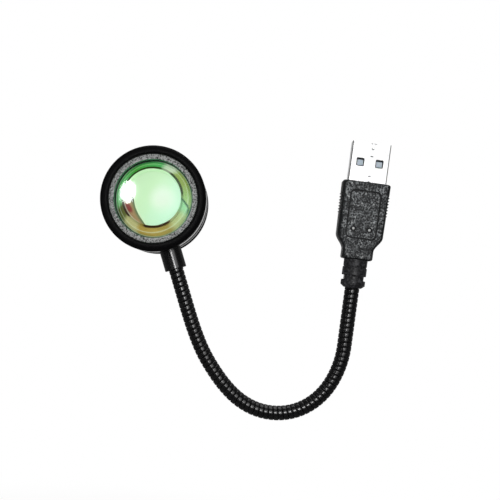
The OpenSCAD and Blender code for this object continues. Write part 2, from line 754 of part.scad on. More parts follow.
module led_emitter() {
    color([0.98, 0.9, 0.5]) at_head() on_optical_axis() union() {
        rod(emitter_d, emitter_front + emitter_rim, board_front);
        rod(emitter_d - 2 * emitter_rim, emitter_front, emitter_front + emitter_rim);
    }
}

module board_screw_places() {
    for (s = [-1, 1]) translate([s * board_screw_spacing / 2, 0, 0]) children();
}

module led_board() {
    color([0.9, 0.9, 0.88]) at_head() on_optical_axis() difference() {
        rod(board_d, board_front, sink_at);
        board_screw_places() rod(board_screw_d + screw_play, board_front - OVER, sink_at + OVER);
    }
}

module led_board_screws() {
    color(STEEL) at_head() on_optical_axis() board_screw_places() {
        rod(board_screw_head_d, board_front - board_screw_head_h, board_front);
        rod(board_screw_d, board_front, sink_back - board_tip_gap);
    }
}

module heat_sink_plate() {
    color([0.75, 0.76, 0.78]) at_head() on_optical_axis() difference() {
        rod(2 * bore_r - 4 * FIT, sink_at, sink_back);
        board_screw_places() rod(board_screw_d + FIT, sink_at - OVER, sink_back + OVER);
    }
}

module series_resistor() {
    color([0.1, 0.1, 0.1]) at_head() translate([-resistor_l / 2, board_front - resistor_h, board_d / 2 - resistor_inset - resistor_w])
        cube([resistor_l, resistor_h, resistor_w]);
}

module board_solder_joints() {
    color(SOLDER) at_head() for (s = [-1, 1]) difference() {
        translate([s * board_pad.x, 0, board_pad[1] + board_pad_r / 2]) on_optical_axis()
            rod(2 * board_pad_r, board_lead_y - solder_rise, board_front);
        translate([s * board_pad.x - 2 * board_pad_r, board_lead_y - 2 * board_pad_r, board_pad[1] - 2 * board_pad_r])
            cube([4 * board_pad_r, 4 * board_pad_r, 2 * board_pad_r]);
    }
}

module rear_screw_places() {
    for (i = [0 : rear_screw_count - 1]) rotate(360 * i / rear_screw_count + 90)
        translate([rear_screw_r, 0, 0]) children();
}

module rear_cover() {
    color(BLACK) at_head() on_optical_axis() difference() {
        union() {
            rotate_extrude() union() {
                translate([0, housing_back]) square([head_r, rear_cover_t - rear_edge]);
                translate([0, housing_back]) square([head_r - rear_edge, rear_cover_t]);
                translate([head_r - rear_edge, back - rear_edge]) circle(rear_edge);
            }
            rod(2 * rear_bore_r - 2 * FIT, housing_back - rear_spigot_l, housing_back + OVER);
        }
        rod(2 * (rear_bore_r - rear_spigot_wall), housing_back - rear_spigot_l - OVER, housing_back);
        rear_screw_places() {
            rod(rear_screw_d + screw_play, housing_back - OVER, back + OVER);
            rod(rear_screw_head_d + 2 * FIT, back - rear_screw_seat, back + OVER);
        }
    }
}

module rear_cover_screws() {
    color(STEEL) at_head() on_optical_axis() rear_screw_places() {
        rod(rear_screw_head_d, back - rear_screw_seat, back - rear_screw_below);
        rod(rear_screw_d - FIT, rear_screw_tip, back - rear_screw_seat);
    }
}

usb_shell();
usb_tongue();
usb_power_contacts();
usb_data_contacts();
plug_solder_joints();
plug_core();
plug_grip();
strain_relief();
neck_end_crimp();
lead_positive();
lead_negative();
for (i = [0 : LINKS - 1]) neck_link(i);
neck_ferrule();
neck_lock_nut();
head_housing();
front_bezel();
lens_retaining_ring();
projection_lens();
lens_gasket();
colour_filter();
reflector_cup();
led_emitter();
led_board();
series_resistor();
board_solder_joints();
heat_sink_plate();
led_board_screws();
rear_cover();
rear_cover_screws();
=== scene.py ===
"""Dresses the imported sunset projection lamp: plug, gooseneck neck and projector head, in a plain studio.

Every piece is modelled in millimetres in its own upright frame and put in its place in metres at the end.
The plug's axis is Z, the neck bends in the plane Y = 0 and the lens looks along -Y.
"""

import json
import logging
import math
from contextlib import contextmanager
from dataclasses import dataclass, field
from enum import Enum
from typing import Any, Callable, Iterator, Optional, Sequence, Union

import bmesh
import bpy
from mathutils import Matrix, Vector

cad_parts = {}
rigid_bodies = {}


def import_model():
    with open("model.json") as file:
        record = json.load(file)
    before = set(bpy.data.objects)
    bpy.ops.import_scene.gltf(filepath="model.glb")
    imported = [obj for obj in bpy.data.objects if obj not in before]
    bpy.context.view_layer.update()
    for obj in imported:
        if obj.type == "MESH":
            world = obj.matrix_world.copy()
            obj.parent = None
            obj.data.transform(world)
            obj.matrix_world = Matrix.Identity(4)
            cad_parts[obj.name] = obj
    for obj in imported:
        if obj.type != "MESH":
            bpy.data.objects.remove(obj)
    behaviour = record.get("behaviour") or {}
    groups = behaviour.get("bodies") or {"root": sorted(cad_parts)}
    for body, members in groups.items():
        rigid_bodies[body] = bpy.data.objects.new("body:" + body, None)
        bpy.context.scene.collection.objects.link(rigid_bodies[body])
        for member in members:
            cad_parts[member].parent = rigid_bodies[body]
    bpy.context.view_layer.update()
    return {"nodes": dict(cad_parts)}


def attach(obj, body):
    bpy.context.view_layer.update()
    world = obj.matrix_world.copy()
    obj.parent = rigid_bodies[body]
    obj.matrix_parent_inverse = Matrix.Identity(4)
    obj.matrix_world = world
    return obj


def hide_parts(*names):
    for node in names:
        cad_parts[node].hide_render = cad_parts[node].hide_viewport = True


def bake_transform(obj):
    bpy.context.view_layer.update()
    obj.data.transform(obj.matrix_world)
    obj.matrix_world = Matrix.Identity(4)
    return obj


LOG = logging.getLogger("lamp")
MM = 0.001

Point = tuple[float, float]
Triple = tuple[float, float, float]
Colour = Triple
Object = bpy.types.Object

WHITE = (1, 1, 1, 1)


# ------------------------------------------------------------------ the modelling bench
def take(*objs: Object) -> None:
    """Selects these objects alone and makes the first active.

    Args:
        objs: the objects to select.
    """
    for other in bpy.context.view_layer.objects:
        other.select_set(False)
    for obj in objs:
        obj.hide_set(False)
        obj.select_set(True)
    bpy.context.view_layer.objects.active = objs[0]


@contextmanager
def editing(obj: Object, kind: str = "VERT") -> Iterator[None]:
    """Opens edit mode on one object, with nothing selected in it.

    Args:
        obj: the mesh object to edit.
        kind: VERT, EDGE or FACE.
    """
    take(obj)
    bpy.ops.object.mode_set(mode="EDIT")
    bpy.ops.mesh.select_mode(type=kind)
    bpy.ops.mesh.select_all(action="DESELECT")
    try:
        yield
    finally:
        bpy.ops.object.mode_set(mode="OBJECT")


def pick(obj: Object, kind: str, test: Callable[[Any], bool]) -> None:
    """Selects the vertices, edges or faces that pass a test, and nothing else.

    Args:
        obj: the object in edit mode.
        kind: verts, edges or faces.
        test: says whether an element is wanted.
    """
    bpy.ops.mesh.select_all(action="DESELECT")
    shape = bmesh.from_edit_mesh(obj.data)
    for item in [item for item in getattr(shape, kind) if test(item)]:
        item.select_set(True)
    shape.select_flush_mode()
    bmesh.update_edit_mesh(obj.data)


def everything() -> None:
    """Selects the whole mesh in edit mode."""
    bpy.ops.mesh.select_all(action="SELECT")


def extrude(shift: Sequence[float]) -> None:
    """Extrudes the selection by a distance."""
    bpy.ops.mesh.extrude_region_move(TRANSFORM_OT_translate={"value": shift})


def bisect(point: Sequence[float], normal: Sequence[float], **how: bool) -> None:
    """Cuts the whole mesh in edit mode along a plane."""
    everything()
    bpy.ops.mesh.bisect(plane_co=point, plane_no=normal, **how)


def fresh(name: str) -> Object:
    """Names the object that an operator has just made.

    Args:
        name: the name it gets.

    Returns:
        The object.
    """
    obj = bpy.context.object
    obj.name = name
    return obj


def tidy(obj: Object, near: float = 1e-4) -> Object:
    """Merges doubled points and turns all faces outwards.

    Args:
        obj: a mesh object.
        near: distance in millimetres under which points merge.

    Returns:
        The same object.
    """
    with editing(obj):
        everything()
        bpy.ops.mesh.remove_doubles(threshold=near)
        bpy.ops.mesh.normals_make_consistent(inside=False)
    return obj


def modify(obj: Object, kind: str, **settings: Any) -> Object:
    """Adds a modifier, sets it and applies it.

    Args:
        obj: the object to change.
        kind: the modifier's type.
        settings: the modifier's own settings.

    Returns:
        The same object.
    """
    take(obj)
    modifier = obj.modifiers.new(kind.title(), kind)
    for name, value in settings.items():
        setattr(modifier, name, value)
    bpy.ops.object.modifier_apply(modifier=modifier.name)
    return obj


def soften(obj: Object, width: float, segments: int = 2, degrees: float = 35) -> Object:
    """Rounds every edge sharper than an angle.

    Args:
        obj: the object to round.
        width: the bevel's width in millimetres.
        segments: faces across the bevel.
        degrees: edges flatter than this stay.

    Returns:
        The same object.
    """
    return modify(obj, "BEVEL", width=width, segments=segments, limit_method="ANGLE",
                  angle_limit=math.radians(degrees), use_clamp_overlap=True, harden_normals=False)


def carve(obj: Object, tool: Object, how: str = "DIFFERENCE") -> Object:
    """Cuts, joins or trims an object with another one, which is used up.

    Args:
        obj: the object to change.
        tool: the closed solid that it is changed with.
        how: DIFFERENCE, UNION or INTERSECT.

    Returns:
        The changed object.
    """
    modify(obj, "BOOLEAN", object=tool, operation=how, solver="EXACT")
    bpy.data.objects.remove(tool)
    return obj


def joined(name: str, parts: Sequence[Object]) -> Object:
    """Makes one object of several.

    Args:
        name: the name it gets.
        parts: the objects, of which the first stays.

    Returns:
        The one object.
    """
    take(*parts)
    bpy.ops.object.join()
    return fresh(name)


def twin(obj: Object, name: str) -> Object:
    """Copies an object with its own mesh.

    Args:
        obj: the object to copy.
        name: the copy's name.

    Returns:
        The copy.
    """
    copy = obj.copy()
    copy.data = obj.data.copy()
    copy.name = name
    bpy.context.scene.collection.objects.link(copy)
    return copy


def marked(obj: Object, name: str, value: Callable[[bpy.types.MeshPolygon], float]) -> Object:
    """Writes a number on every face, for a finish to read.

    Args:
        obj: the piece.
        name: the number's name.
        value: works it out from a face.

    Returns:
        The same piece.
    """
    numbers = [value(face) for face in obj.data.polygons]
    layer = obj.data.attributes.new(name, "FLOAT", "FACE")
    layer.data.foreach_set("value", numbers)
    return obj


def split(obj: Object, second: Callable[[bpy.types.MeshPolygon], bool]) -> Object:
    """Gives some faces a piece's second finish and the others its first.

    Args:
        obj: the piece.
        second: says whether a face takes the second finish.

    Returns:
        The same piece.
    """
    for face in obj.data.polygons:
        face.material_index = int(second(face))
    return obj


def drawn(name: str, profile: Sequence[Point], base: float = 0.0) -> Object:
    """Draws a line through points of radius and height, in the plane Y = 0.

    Args:
        name: the line's name.
        profile: its points.
        base: how far the whole line is raised.

    Returns:
        The line, as a mesh of edges.
    """
    bpy.ops.mesh.primitive_plane_add(size=0.2)
    line = fresh(name)
    with editing(line):
        everything()
        bpy.ops.mesh.merge(type="CENTER")
        bpy.ops.transform.translate(value=(profile[0][0], 0, profile[0][1] + base))
        for (r0, h0), (r1, h1) in zip(profile, profile[1:]):
            extrude((r1 - r0, 0, h1 - h0))
    return line


def lathe(name: str, profile: Sequence[Point], closed: bool = False, steps: int = 96) -> Object:
    """Spins a profile of radius and height round Z, as on a lathe.

    Args:
        name: the piece's name.
        profile: its points; where it isn't closed it starts and ends on the axis.
        closed: whether the last point joins the first, as in a ring.
        steps: faces round the piece.

    Returns:
        A closed solid.
    """
    obj = drawn(name, profile)
    with editing(obj):
        if closed:
            ends = (profile[0], profile[-1])
            pick(obj, "verts", lambda v: any(math.dist((v.co.x, v.co.z), e) < 1e-4 for e in ends))
            bpy.ops.mesh.edge_face_add()
        everything()
        bpy.ops.mesh.spin(steps=steps, angle=2 * math.pi, center=(0, 0, 0), axis=(0, 0, 1))
    return tidy(obj)


def loft(name: str, rows: Sequence[Triple], corner: float, steps: int = 6) -> Object:
    """Extrudes a rounded rectangle along Z through rows of height, width and thickness.

    Args:
        name: the piece's name.
        rows: the sections, from one end to the other.
        corner: the first section's corner radius.
        steps: faces round a corner.

    Returns:
        A closed solid.
    """
    height, width, thick = rows[0]
    bpy.ops.mesh.primitive_plane_add(size=1)
    obj = fresh(name)
    with editing(obj):
        everything()
        bpy.ops.transform.resize(value=(width, thick, 1), center_override=(0, 0, 0))
        bpy.ops.transform.translate(value=(0, 0, height))
        bpy.ops.mesh.bevel(offset=corner, segments=steps, affect="VERTICES")
        everything()
        for next_height, next_width, next_thick in rows[1:]:
            extrude((0, 0, next_height - height))
            bpy.ops.transform.resize(value=(next_width / width, next_thick / thick, 1),
                                     center_override=(0, 0, next_height))
            height, width, thick = next_height, next_width, next_thick
    return tidy(obj)


def rod(name: str, radius: float, low: float, high: float, at: Point = (0, 0), sides: int = 32) -> Object:
    """Makes a round bar along Z.

    Args:
        name: the piece's name.
        radius: its radius.
        low: its lower end.
        high: its upper end.
        at: where its axis stands.
        sides: faces round it.

    Returns:
        The bar, as a start or as a tool.
    """
    bpy.ops.mesh.primitive_cylinder_add(vertices=sides, radius=radius, depth=high - low,
                                        location=(at[0], at[1], (low + high) / 2))
    obj = fresh(name)
    bpy.ops.object.transform_apply(location=True, rotation=True, scale=True)
    return obj


def block(name: str, low: Sequence[float], high: Sequence[float]) -> Object:
    """Makes a box between two corners.

    Args:
        name: the piece's name.
        low: its lowest corner.
        high: its highest corner.

    Returns:
        The box, as a start or as a tool.
    """
    bpy.ops.mesh.primitive_cube_add(size=1, location=[(a + b) / 2 for a, b in zip(low, high)])
    obj = fresh(name)
    obj.scale = [b - a for a, b in zip(low, high)]
    bpy.ops.object.transform_apply(location=True, rotation=True, scale=True)
    return obj


def tube(name: str, radius: float, route: Sequence[Sequence[float]], fine: int, smooth: bool = False) -> Object:
    """Makes a round tube along a route, with closed ends.

    Args:
        name: the piece's name.
        radius: the tube's radius.
        route: the points that it runs through.
        fine: how finely its round is divided.
        smooth: whether it runs in one smooth curve and not in straight lines.

    Returns:
        The tube, as a mesh.
    """
    curve = bpy.data.curves.new(name, "CURVE")
    curve.dimensions, curve.use_fill_caps = "3D", True
    curve.bevel_depth, curve.bevel_resolution = radius, fine
    if smooth:
        curve.resolution_u = 4
        spline = curve.splines.new("BEZIER")
        spline.bezier_points.add(len(route) - 1)
        for knot, point in zip(spline.bezier_points, route):
            knot.co = point
            knot.handle_left_type = knot.handle_right_type = "AUTO"
    else:
        spline = curve.splines.new("POLY")
        spline.points.add(len(route) - 1)
        for knot, point in zip(spline.points, route):
            knot.co = (*point, 1)
    obj = bpy.data.objects.new(name, curve)
    bpy.context.scene.collection.objects.link(obj)
    take(obj)
    bpy.ops.object.convert(target="MESH")
    return bpy.context.object


def turned(obj: Object, axis: str, degrees: float, shift: Sequence[float] = (0, 0, 0)) -> Object:
    """Turns a piece about an axis through the origin and then moves it.

    Args:
        obj: the piece.
        axis: X, Y or Z.
        degrees: the angle.
        shift: how far it is moved afterwards.

    Returns:
        The same piece.
    """
    obj.data.transform(Matrix.Translation(shift) @ Matrix.Rotation(math.radians(degrees), 4, axis))
    return obj


def spread(blank: Object, places: Sequence[tuple[str, float, Sequence[float]]]) -> list[Object]:
    """Copies a piece to several places, each copy with its own mesh, and uses it up.

    Args:
        blank: the piece.
        places: for each copy an axis, an angle and a move, as turned takes them.

    Returns:
        The copies.
    """
    copies = [turned(twin(blank, blank.name), *place) for place in places]
    bpy.data.objects.remove(blank)
    return copies


def swung(vector: Vector, degrees: float) -> Vector:
    """Turns a vector about Y."""
    return Matrix.Rotation(math.radians(degrees), 3, "Y") @ vector


def arc(centre: Point, radii: Point, start: float, end: float, steps: int) -> list[Point]:
    """Points of an elliptical arc.

    Args:
        centre: the arc's centre.
        radii: its two half-axes.
        start: the first angle in degrees.
        end: the last angle.
        steps: parts it is divided in.

    Returns:
        The points, from the first angle to the last.
    """
    angles = [math.radians(start + (end - start) * k / steps) for k in range(steps + 1)]
    return [(centre[0] + radii[0] * math.cos(a), centre[1] + radii[1] * math.sin(a)) for a in angles]


def dome(apex: float, bend: float, reach: float, steps: int) -> list[Point]:
    """Points of a shallow dome that rises towards lower heights.

    Args:
        apex: height of its top.
        bend: its radius of curvature.
        reach: radius of its rim.
        steps: parts it is divided in.

    Returns:
        The points, from the top to the rim.
    """
    radii = [reach * k / steps for k in range(steps + 1)]
    return [(r, apex + bend - math.sqrt(bend * bend - r * r)) for r in radii]


# ------------------------------------------------------------------ shader maths
class Graph:
    """The node tree of a material or of the world."""

    def __init__(self, owner: bpy.types.ID) -> None:
        """Empties the owner's tree.

        Args:
            owner: the material or the world.
        """
        owner.use_nodes = True
        self.owner = owner
        self.tree = owner.node_tree
        self.tree.nodes.clear()

    def node(self, kind: str, settings: Optional[dict[str, Any]] = None, **links: Any) -> bpy.types.Node:
        """Adds a node.

        Args:
            kind: the node's type.
            settings: its own settings, which are set first; stops fills a colour ramp.
            links: values or sockets for its inputs, with spaces written as underscores or as i0, i1...

        Returns:
            The node.
        """
        node = self.tree.nodes.new(kind)
        for name, value in (settings or {}).items():
            if name == "stops":
                self._fill(node.color_ramp, value)
            else:
                setattr(node, name, value)
        for name, value in links.items():
            key = int(name[1:]) if name[0] == "i" and name[1:].isdigit() else name.replace("_", " ")
            target = node.inputs[key]
            if isinstance(value, Signal):
                self.tree.links.new(value.socket, target)
            else:
                target.default_value = value
        return node

    @staticmethod
    def _fill(ramp: bpy.types.ColorRamp, stops: Sequence[tuple[float, Sequence[float]]]) -> None:
        """Sets a ramp's stops.

        Args:
            ramp: the ramp.
            stops: a position and a colour for each stop.
        """
        while len(ramp.elements) < len(stops):
            ramp.elements.new(1.0)
        for element, (place, colour) in zip(ramp.elements, stops):
            element.position = place
            element.color = _rgba(colour)

    def signal(self, node: bpy.types.Node, output: Any = 0) -> "Signal":
        """Wraps one output of a node."""
        return Signal(self, node.outputs[output])

    def place(self) -> "Signal":
        """The point on the piece, in metres."""
        return self.signal(self.node("ShaderNodeTexCoord"), "Object")

    def mapped(self, point: "Signal", shift: Sequence[float] = (0, 0, 0), turn: Sequence[float] = (0, 0, 0),
               scale: Sequence[float] = (1, 1, 1), kind: str = "POINT") -> "Signal":
        """Moves, turns and stretches a pattern's coordinates.

        Args:
            point: the coordinates.
            shift: the move.
            turn: the turn in radians.
            scale: the stretch.
            kind: POINT scales, turns and moves; TEXTURE undoes a move, a turn and a stretch.

        Returns:
            The new coordinates.
        """
        return self.signal(self.node("ShaderNodeMapping", {"vector_type": kind}, Vector=point, Location=shift,
                                     Rotation=turn, Scale=scale))

    def noise(self, point: "Signal", size: float, detail: float = 2, rough: float = 0.5) -> "Signal":
        """Noise whose features are about a size in millimetres."""
        return self.signal(self.node("ShaderNodeTexNoise", None, Vector=point, Scale=1 / (size * MM),
                                     Detail=detail, Roughness=rough))

    def warp(self, point: "Signal", size: float, reach: float) -> "Signal":
        """Coordinates that wander by up to a reach in millimetres, to bend other patterns with."""
        wander = self.signal(self.node("ShaderNodeTexNoise", None, Vector=point, Scale=1 / (size * MM)), "Color")
        return self.signal(self.node("ShaderNodeVectorMath", {"operation": "ADD"}, i0=point,
                                     i1=self.mapped(wander, scale=(reach * MM,) * 3)))

    def cells(self, point: "Signal", size: float) -> "Signal":
        """Distance from the middles of cells of about a size in millimetres."""
        return self.signal(self.node("ShaderNodeTexVoronoi", None, Vector=point, Scale=1 / (size * MM)), "Distance")

    def mark(self, name: str) -> "Signal":
        """A number that the piece carries on its faces."""
        return self.signal(self.node("ShaderNodeAttribute", {"attribute_name": name}), "Fac")

    def rays(self, *kinds: str) -> list["Signal"]:
        """For each kind of ray, 1 where such a ray meets the surface."""
        path = self.node("ShaderNodeLightPath")
        return [self.signal(path, f"Is {kind} Ray") for kind in kinds]

    def ramp(self, share: "Signal", stops: Sequence[tuple[float, Colour]]) -> "Signal":
        """A colour from a ramp."""
        return self.signal(self.node("ShaderNodeValToRGB", {"stops": stops}, Fac=share))

    def blend(self, share: Any, first: Any, second: Any) -> "Signal":
        """Mixes two colours; each may be a colour or a signal."""
        values = {"i0": share, "i6": _rgba(first), "i7": _rgba(second)}
        return self.signal(self.node("ShaderNodeMix", {"data_type": "RGBA"}, **values), 2)

    def layered(self, base: "Signal", layers: Sequence[tuple["Signal", Any]]) -> "Signal":
        """Lays colours over one another.

        Args:
            base: the lowest colour.
            layers: a share and a colour for each of the others, from the lowest up.

        Returns:
            The colour that they give together.
        """
        for share, colour in layers:
            base = self.blend(share, base, colour)
        return base

    def relief(self, height: "Signal", depth: float) -> "Signal":
        """Bump of a depth in millimetres."""
        return self.signal(self.node("ShaderNodeBump", None, Strength=1.0, Distance=depth * MM, Height=height))

    def glow(self, level: Any) -> bpy.types.Node:
        """A white light of a level."""
        return self.node("ShaderNodeEmission", None, Color=WHITE, Strength=level)

    def either(self, share: "Signal", first: bpy.types.Node, second: bpy.types.Node) -> bpy.types.Node:
        """Mixes two shaders."""
        return self.node("ShaderNodeMixShader", None, i0=share, i1=self.signal(first), i2=self.signal(second))

    def end(self, surface: bpy.types.Node, kind: str = "Material") -> bpy.types.ID:
        """Ends the tree in a shader and gives back its owner."""
        self.node(f"ShaderNodeOutput{kind}", None, Surface=self.signal(surface))
        return self.owner

    def dress(self, **links: Any) -> bpy.types.Material:
        """Ends the tree in a surface shader with these inputs."""
        values = {name: _rgba(value) for name, value in links.items()}
        return self.end(self.node("ShaderNodeBsdfPrincipled", None, **values))


def _rgba(colour: Any) -> Any:
    """A colour with its alpha, or what was given."""
    return (*colour, 1) if isinstance(colour, tuple) and len(colour) == 3 else colour


@dataclass(frozen=True)
class Signal:
    """One socket's number, on which maths adds Math nodes."""

    graph: Graph
    socket: bpy.types.NodeSocket

    def math(self, what: str, *others: Any) -> "Signal":
        """Adds a Math node with this number first."""
        links = {f"i{k}": value for k, value in enumerate((self, *others))}
        return self.graph.signal(self.graph.node("ShaderNodeMath", {"operation": what}, **links))

    def _after(self, what: str, first: Any) -> "Signal":
        """Adds a Math node with this number second."""
        return self.graph.signal(self.graph.node("ShaderNodeMath", {"operation": what}, i0=first, i1=self))

    def __add__(self, other: Any) -> "Signal":
        """Sum."""
        return self.math("ADD", other)

    def __radd__(self, other: Any) -> "Signal":
        """Sum with a number in front."""
        return self.math("ADD", other)

    def __sub__(self, other: Any) -> "Signal":
        """Difference."""
        return self.math("SUBTRACT", other)

    def __rsub__(self, other: Any) -> "Signal":
        """Difference with a number in front."""
        return self._after("SUBTRACT", other)

    def __mul__(self, other: Any) -> "Signal":
        """Product."""
        return self.math("MULTIPLY", other)

    def __rmul__(self, other: Any) -> "Signal":
        """Product with a number in front."""
        return self.math("MULTIPLY", other)

    def __truediv__(self, other: Any) -> "Signal":
        """Quotient."""
        return self.math("DIVIDE", other)

    def __rtruediv__(self, other: Any) -> "Signal":
        """Quotient with a number in front."""
        return self._after("DIVIDE", other)

    def __pow__(self, other: Any) -> "Signal":
        """Power."""
        return self.math("POWER", other)

    def step(self, low: Any, high: Any, start: float = 0.0, end: float = 1.0) -> "Signal":
        """Runs smoothly from start to end as this number goes from low to high."""
        node = self.graph.node("ShaderNodeMapRange", {"interpolation_type": "SMOOTHSTEP"}, Value=self,
                               i1=low, i2=high, i3=start, i4=end)
        return self.graph.signal(node)

    def near(self, centre: Any, width: float) -> "Signal":
        """1 at a centre, falling smoothly to 0 at a width on each side."""
        return (self - centre).math("ABSOLUTE").step(0.0, width, 1.0, 0.0)

    def axis(self, name: str) -> "Signal":
        """One coordinate of a vector."""
        return self.graph.signal(self.graph.node("ShaderNodeSeparateXYZ", None, Vector=self), name)

    def length(self, other: "Signal") -> "Signal":
        """Distance from the middle, of a point with this number and another as its coordinates."""
        return (self * self + other * other).math("SQRT")


# ------------------------------------------------------------------ finishes
@dataclass(frozen=True)
class Finish:
    """What every finish has: a name and the record's slot that it stands for."""

    name: str
    slot: str

    def make(self) -> bpy.types.Material:
        """Builds the material, once."""
        return bpy.data.materials.get(self.name) or self.build(Graph(bpy.data.materials.new(self.name)))

    def build(self, g: Graph) -> bpy.types.Material:
        """Fills the node tree."""
        raise NotImplementedError


@dataclass(frozen=True)
class Moulded(Finish):
    """Moulded plastic or rubber: a flecked colour, an eroded grain and uneven gloss."""

    colour: Colour
    fleck: Colour
    grain: float = 0.16
    depth: float = 0.02
    rough: Point = (0.4, 0.6)
    mottle: float = 2.5
    shine: float = 0.4
    scatter: float = 0.0

    def build(self, g: Graph) -> bpy.types.Material:
        """Fine grain and slow mottling drive colour, gloss and bump.

        Args:
            g: the material's graph.

        Returns:
            The material.
        """
        point = g.place()
        fine = g.noise(point, self.grain, 3, 0.6)
        slow = g.noise(point, self.mottle, 2)
        specks = g.cells(point, self.grain * 2.4).step(0.05, 0.4, 1.0, 0.0)
        share = fine.step(0.42, 0.66) * slow.step(0.3, 0.75, 0.25, 1.0)
        gloss = fine.step(0.3, 0.7, self.rough[0], self.rough[1])
        return g.dress(
            Base_Color=g.blend(share, self.colour, self.fleck),
            Roughness=gloss,
            Specular_IOR_Level=self.shine,
            Subsurface_Weight=self.scatter,
            Subsurface_Scale=0.4 * MM,
            Normal=g.relief(fine + specks * 0.4, self.depth),
        )


@dataclass(frozen=True)
class Hide(Finish):
    """Black plastic with a leather-like grain: dark creases between worn, paler islands.

    The piece's own mark "wear" is 1 on its open faces and 0 on rounded edges and in grooves: open faces show real
    wear, while edges and grooves stay dark as painted shade.
    """

    colour: Colour = (0.009, 0.010, 0.011)
    worn: Colour = (0.37, 0.39, 0.40)
    scuff: Colour = (0.80, 0.82, 0.82)
    island: float = 0.62
    crease: float = 0.07
    tail: Point = (-20.0, -16.5)  # heights between which the wear fades
    tail_wear: float = 0.66

    def build(self, g: Graph) -> bpy.types.Material:
        """Creased cells, a fine grit and slow patches of wear, less of it towards the neck.

        Args:
            g: the material's graph.

        Returns:
            The material.
        """
        point = g.place()
        pores = g.noise(point, 0.5)
        islands = g.cells(g.warp(point, 0.4, 0.35), self.island).step(0.1, 0.5, 1.0, 0.0)
        grit = g.noise(point, 0.55, 3, 0.75).step(0.4, 0.6)
        patches = g.noise(point, 2.2, 4, 0.65).step(0.38, 0.64)
        grain = (islands * 0.45 + grit * 0.6).step(0.2, 0.9)
        tail = (point.axis("Z") / MM).step(*self.tail, self.tail_wear, 1.0)
        # the mark's zeros leave rounded edges and grooves at the dark base colour: painted shade
        share = grain * (patches * 0.85 + 0.3) * (g.mark("wear") * 0.96 + 0.04) * tail
        scuffs = g.noise(point, 0.9, 2, 0.6).step(0.6, 0.67) * patches * g.mark("wear")
        return g.dress(
            Base_Color=g.blend(scuffs * 0.7, g.blend(share, self.colour, self.worn), self.scuff),
            Roughness=share.step(0.0, 0.9, 0.36, 0.6),
            Specular_IOR_Level=0.4,
            Normal=g.relief(islands * 0.7 + grit * 0.5 + pores * 0.3, self.crease),
        )


@dataclass(frozen=True)
class Lacquer(Finish):
    """Glossy black lacquer with faint orange peel, dust and hair scratches."""

    colour: Colour
    rough: float = 0.12
    shine: float = 0.4
    coat: float = 0.6
    peel: float = 0.004
    dust: Colour = (0.05, 0.052, 0.055)
    bands: Sequence[Point] = ()

    def build(self, g: Graph) -> bpy.types.Material:
        """Orange peel in the bump, dust and scratches in colour and gloss, turned bands in gloss.

        Args:
            g: the material's graph.

        Returns:
            The material.
        """
        point = g.place()
        gloss: Any = self.rough
        for start, rough in self.bands:
            gloss = (point.axis("Y") / MM).step(start - 0.2, start + 0.2) * (rough - gloss) + gloss
        peel = g.noise(point, 0.7, 2)
        dust = g.noise(point, 0.12, 2, 0.7).step(0.6, 0.78) * g.noise(point, 3.0).step(0.4, 0.7)
        streak = g.noise(g.mapped(point, scale=(0.3, 3, 1)), 0.5, 4, 0.7).step(0.55, 0.8)
        return g.dress(
            Base_Color=g.blend(dust * 0.6, self.colour, self.dust),
            Roughness=gloss + streak * 0.08 + dust * 0.2,
            Specular_IOR_Level=self.shine,
            Coat_Weight=self.coat,
            Coat_Roughness=self.rough * 0.6,
            Normal=g.relief(peel, self.peel),
        )


@dataclass(frozen=True)
class Metal(Finish):
    """Bare or plated metal with a drawn or turned grain."""

    colour: Colour
    tint: Colour
    rough: Point = (0.18, 0.34)
    stretch: Triple = (6, 6, 0.5)
    depth: float = 0.002
    grain: float = 0.4

    def build(self, g: Graph) -> bpy.types.Material:
        """A stretched noise is the grain; a slow one varies colour and gloss.

        Args:
            g: the material's graph.

        Returns:
            The material.
        """
        point = g.place()
        grain = g.noise(g.mapped(point, scale=self.stretch), self.grain, 4, 0.65)
        slow = g.noise(point, 2.2, 2)
        return g.dress(
            Base_Color=g.blend(slow.step(0.35, 0.75) * 0.7 + grain * 0.2, self.colour, self.tint),
            Metallic=1.0,
            Roughness=(grain * 0.6 + slow * 0.4).step(0.35, 0.65, self.rough[0], self.rough[1]),
            Normal=g.relief(grain, self.depth),
        )


@dataclass(frozen=True)
class Winding(Finish):
    """Black spring wire: glossy on the crown of each turn and duller in the grooves."""

    colour: Colour = (0.005, 0.005, 0.0055)
    fleck: Colour = (0.028, 0.028, 0.03)

    def build(self, g: Graph) -> bpy.types.Material:
        """Lacquer with fine pits and rubbed flecks.

        Args:
            g: the material's graph.

        Returns:
            The material.
        """
        point = g.place()
        pits = g.noise(point, 0.1, 3, 0.6)
        slow = g.noise(point, 1.6, 2)
        rub = pits.step(0.56, 0.72) * slow.step(0.4, 0.7)
        return g.dress(
            Base_Color=g.blend(rub, self.colour, self.fleck),
            Roughness=0.15 + pits.step(0.35, 0.7) * 0.12,
            Specular_IOR_Level=1.0,
            Normal=g.relief(pits, 0.004),
        )


@dataclass(frozen=True)
class Blasted(Finish):
    """Grit-blasted grey ring with bright and dark grains."""

    dark: Colour = (0.014, 0.016, 0.015)
    pale: Colour = (0.485, 0.50, 0.49)

    def build(self, g: Graph) -> bpy.types.Material:
        """Grains of two sizes in colour and bump.

        Args:
            g: the material's graph.

        Returns:
            The material.
        """
        point = g.place()
        grit = g.cells(point, 0.5).step(0.14, 0.5)
        fine = g.noise(point, 0.42, 3, 0.75)
        share = (grit * 0.35 + fine.step(0.42, 0.58) * 0.65).step(0.22, 0.78)
        return g.dress(
            Base_Color=g.blend(share, self.dark, self.pale),
            Roughness=fine.step(0.3, 0.7, 0.4, 0.65),
            Specular_IOR_Level=0.5,
            Normal=g.relief(fine + grit * 0.6, 0.06),
        )


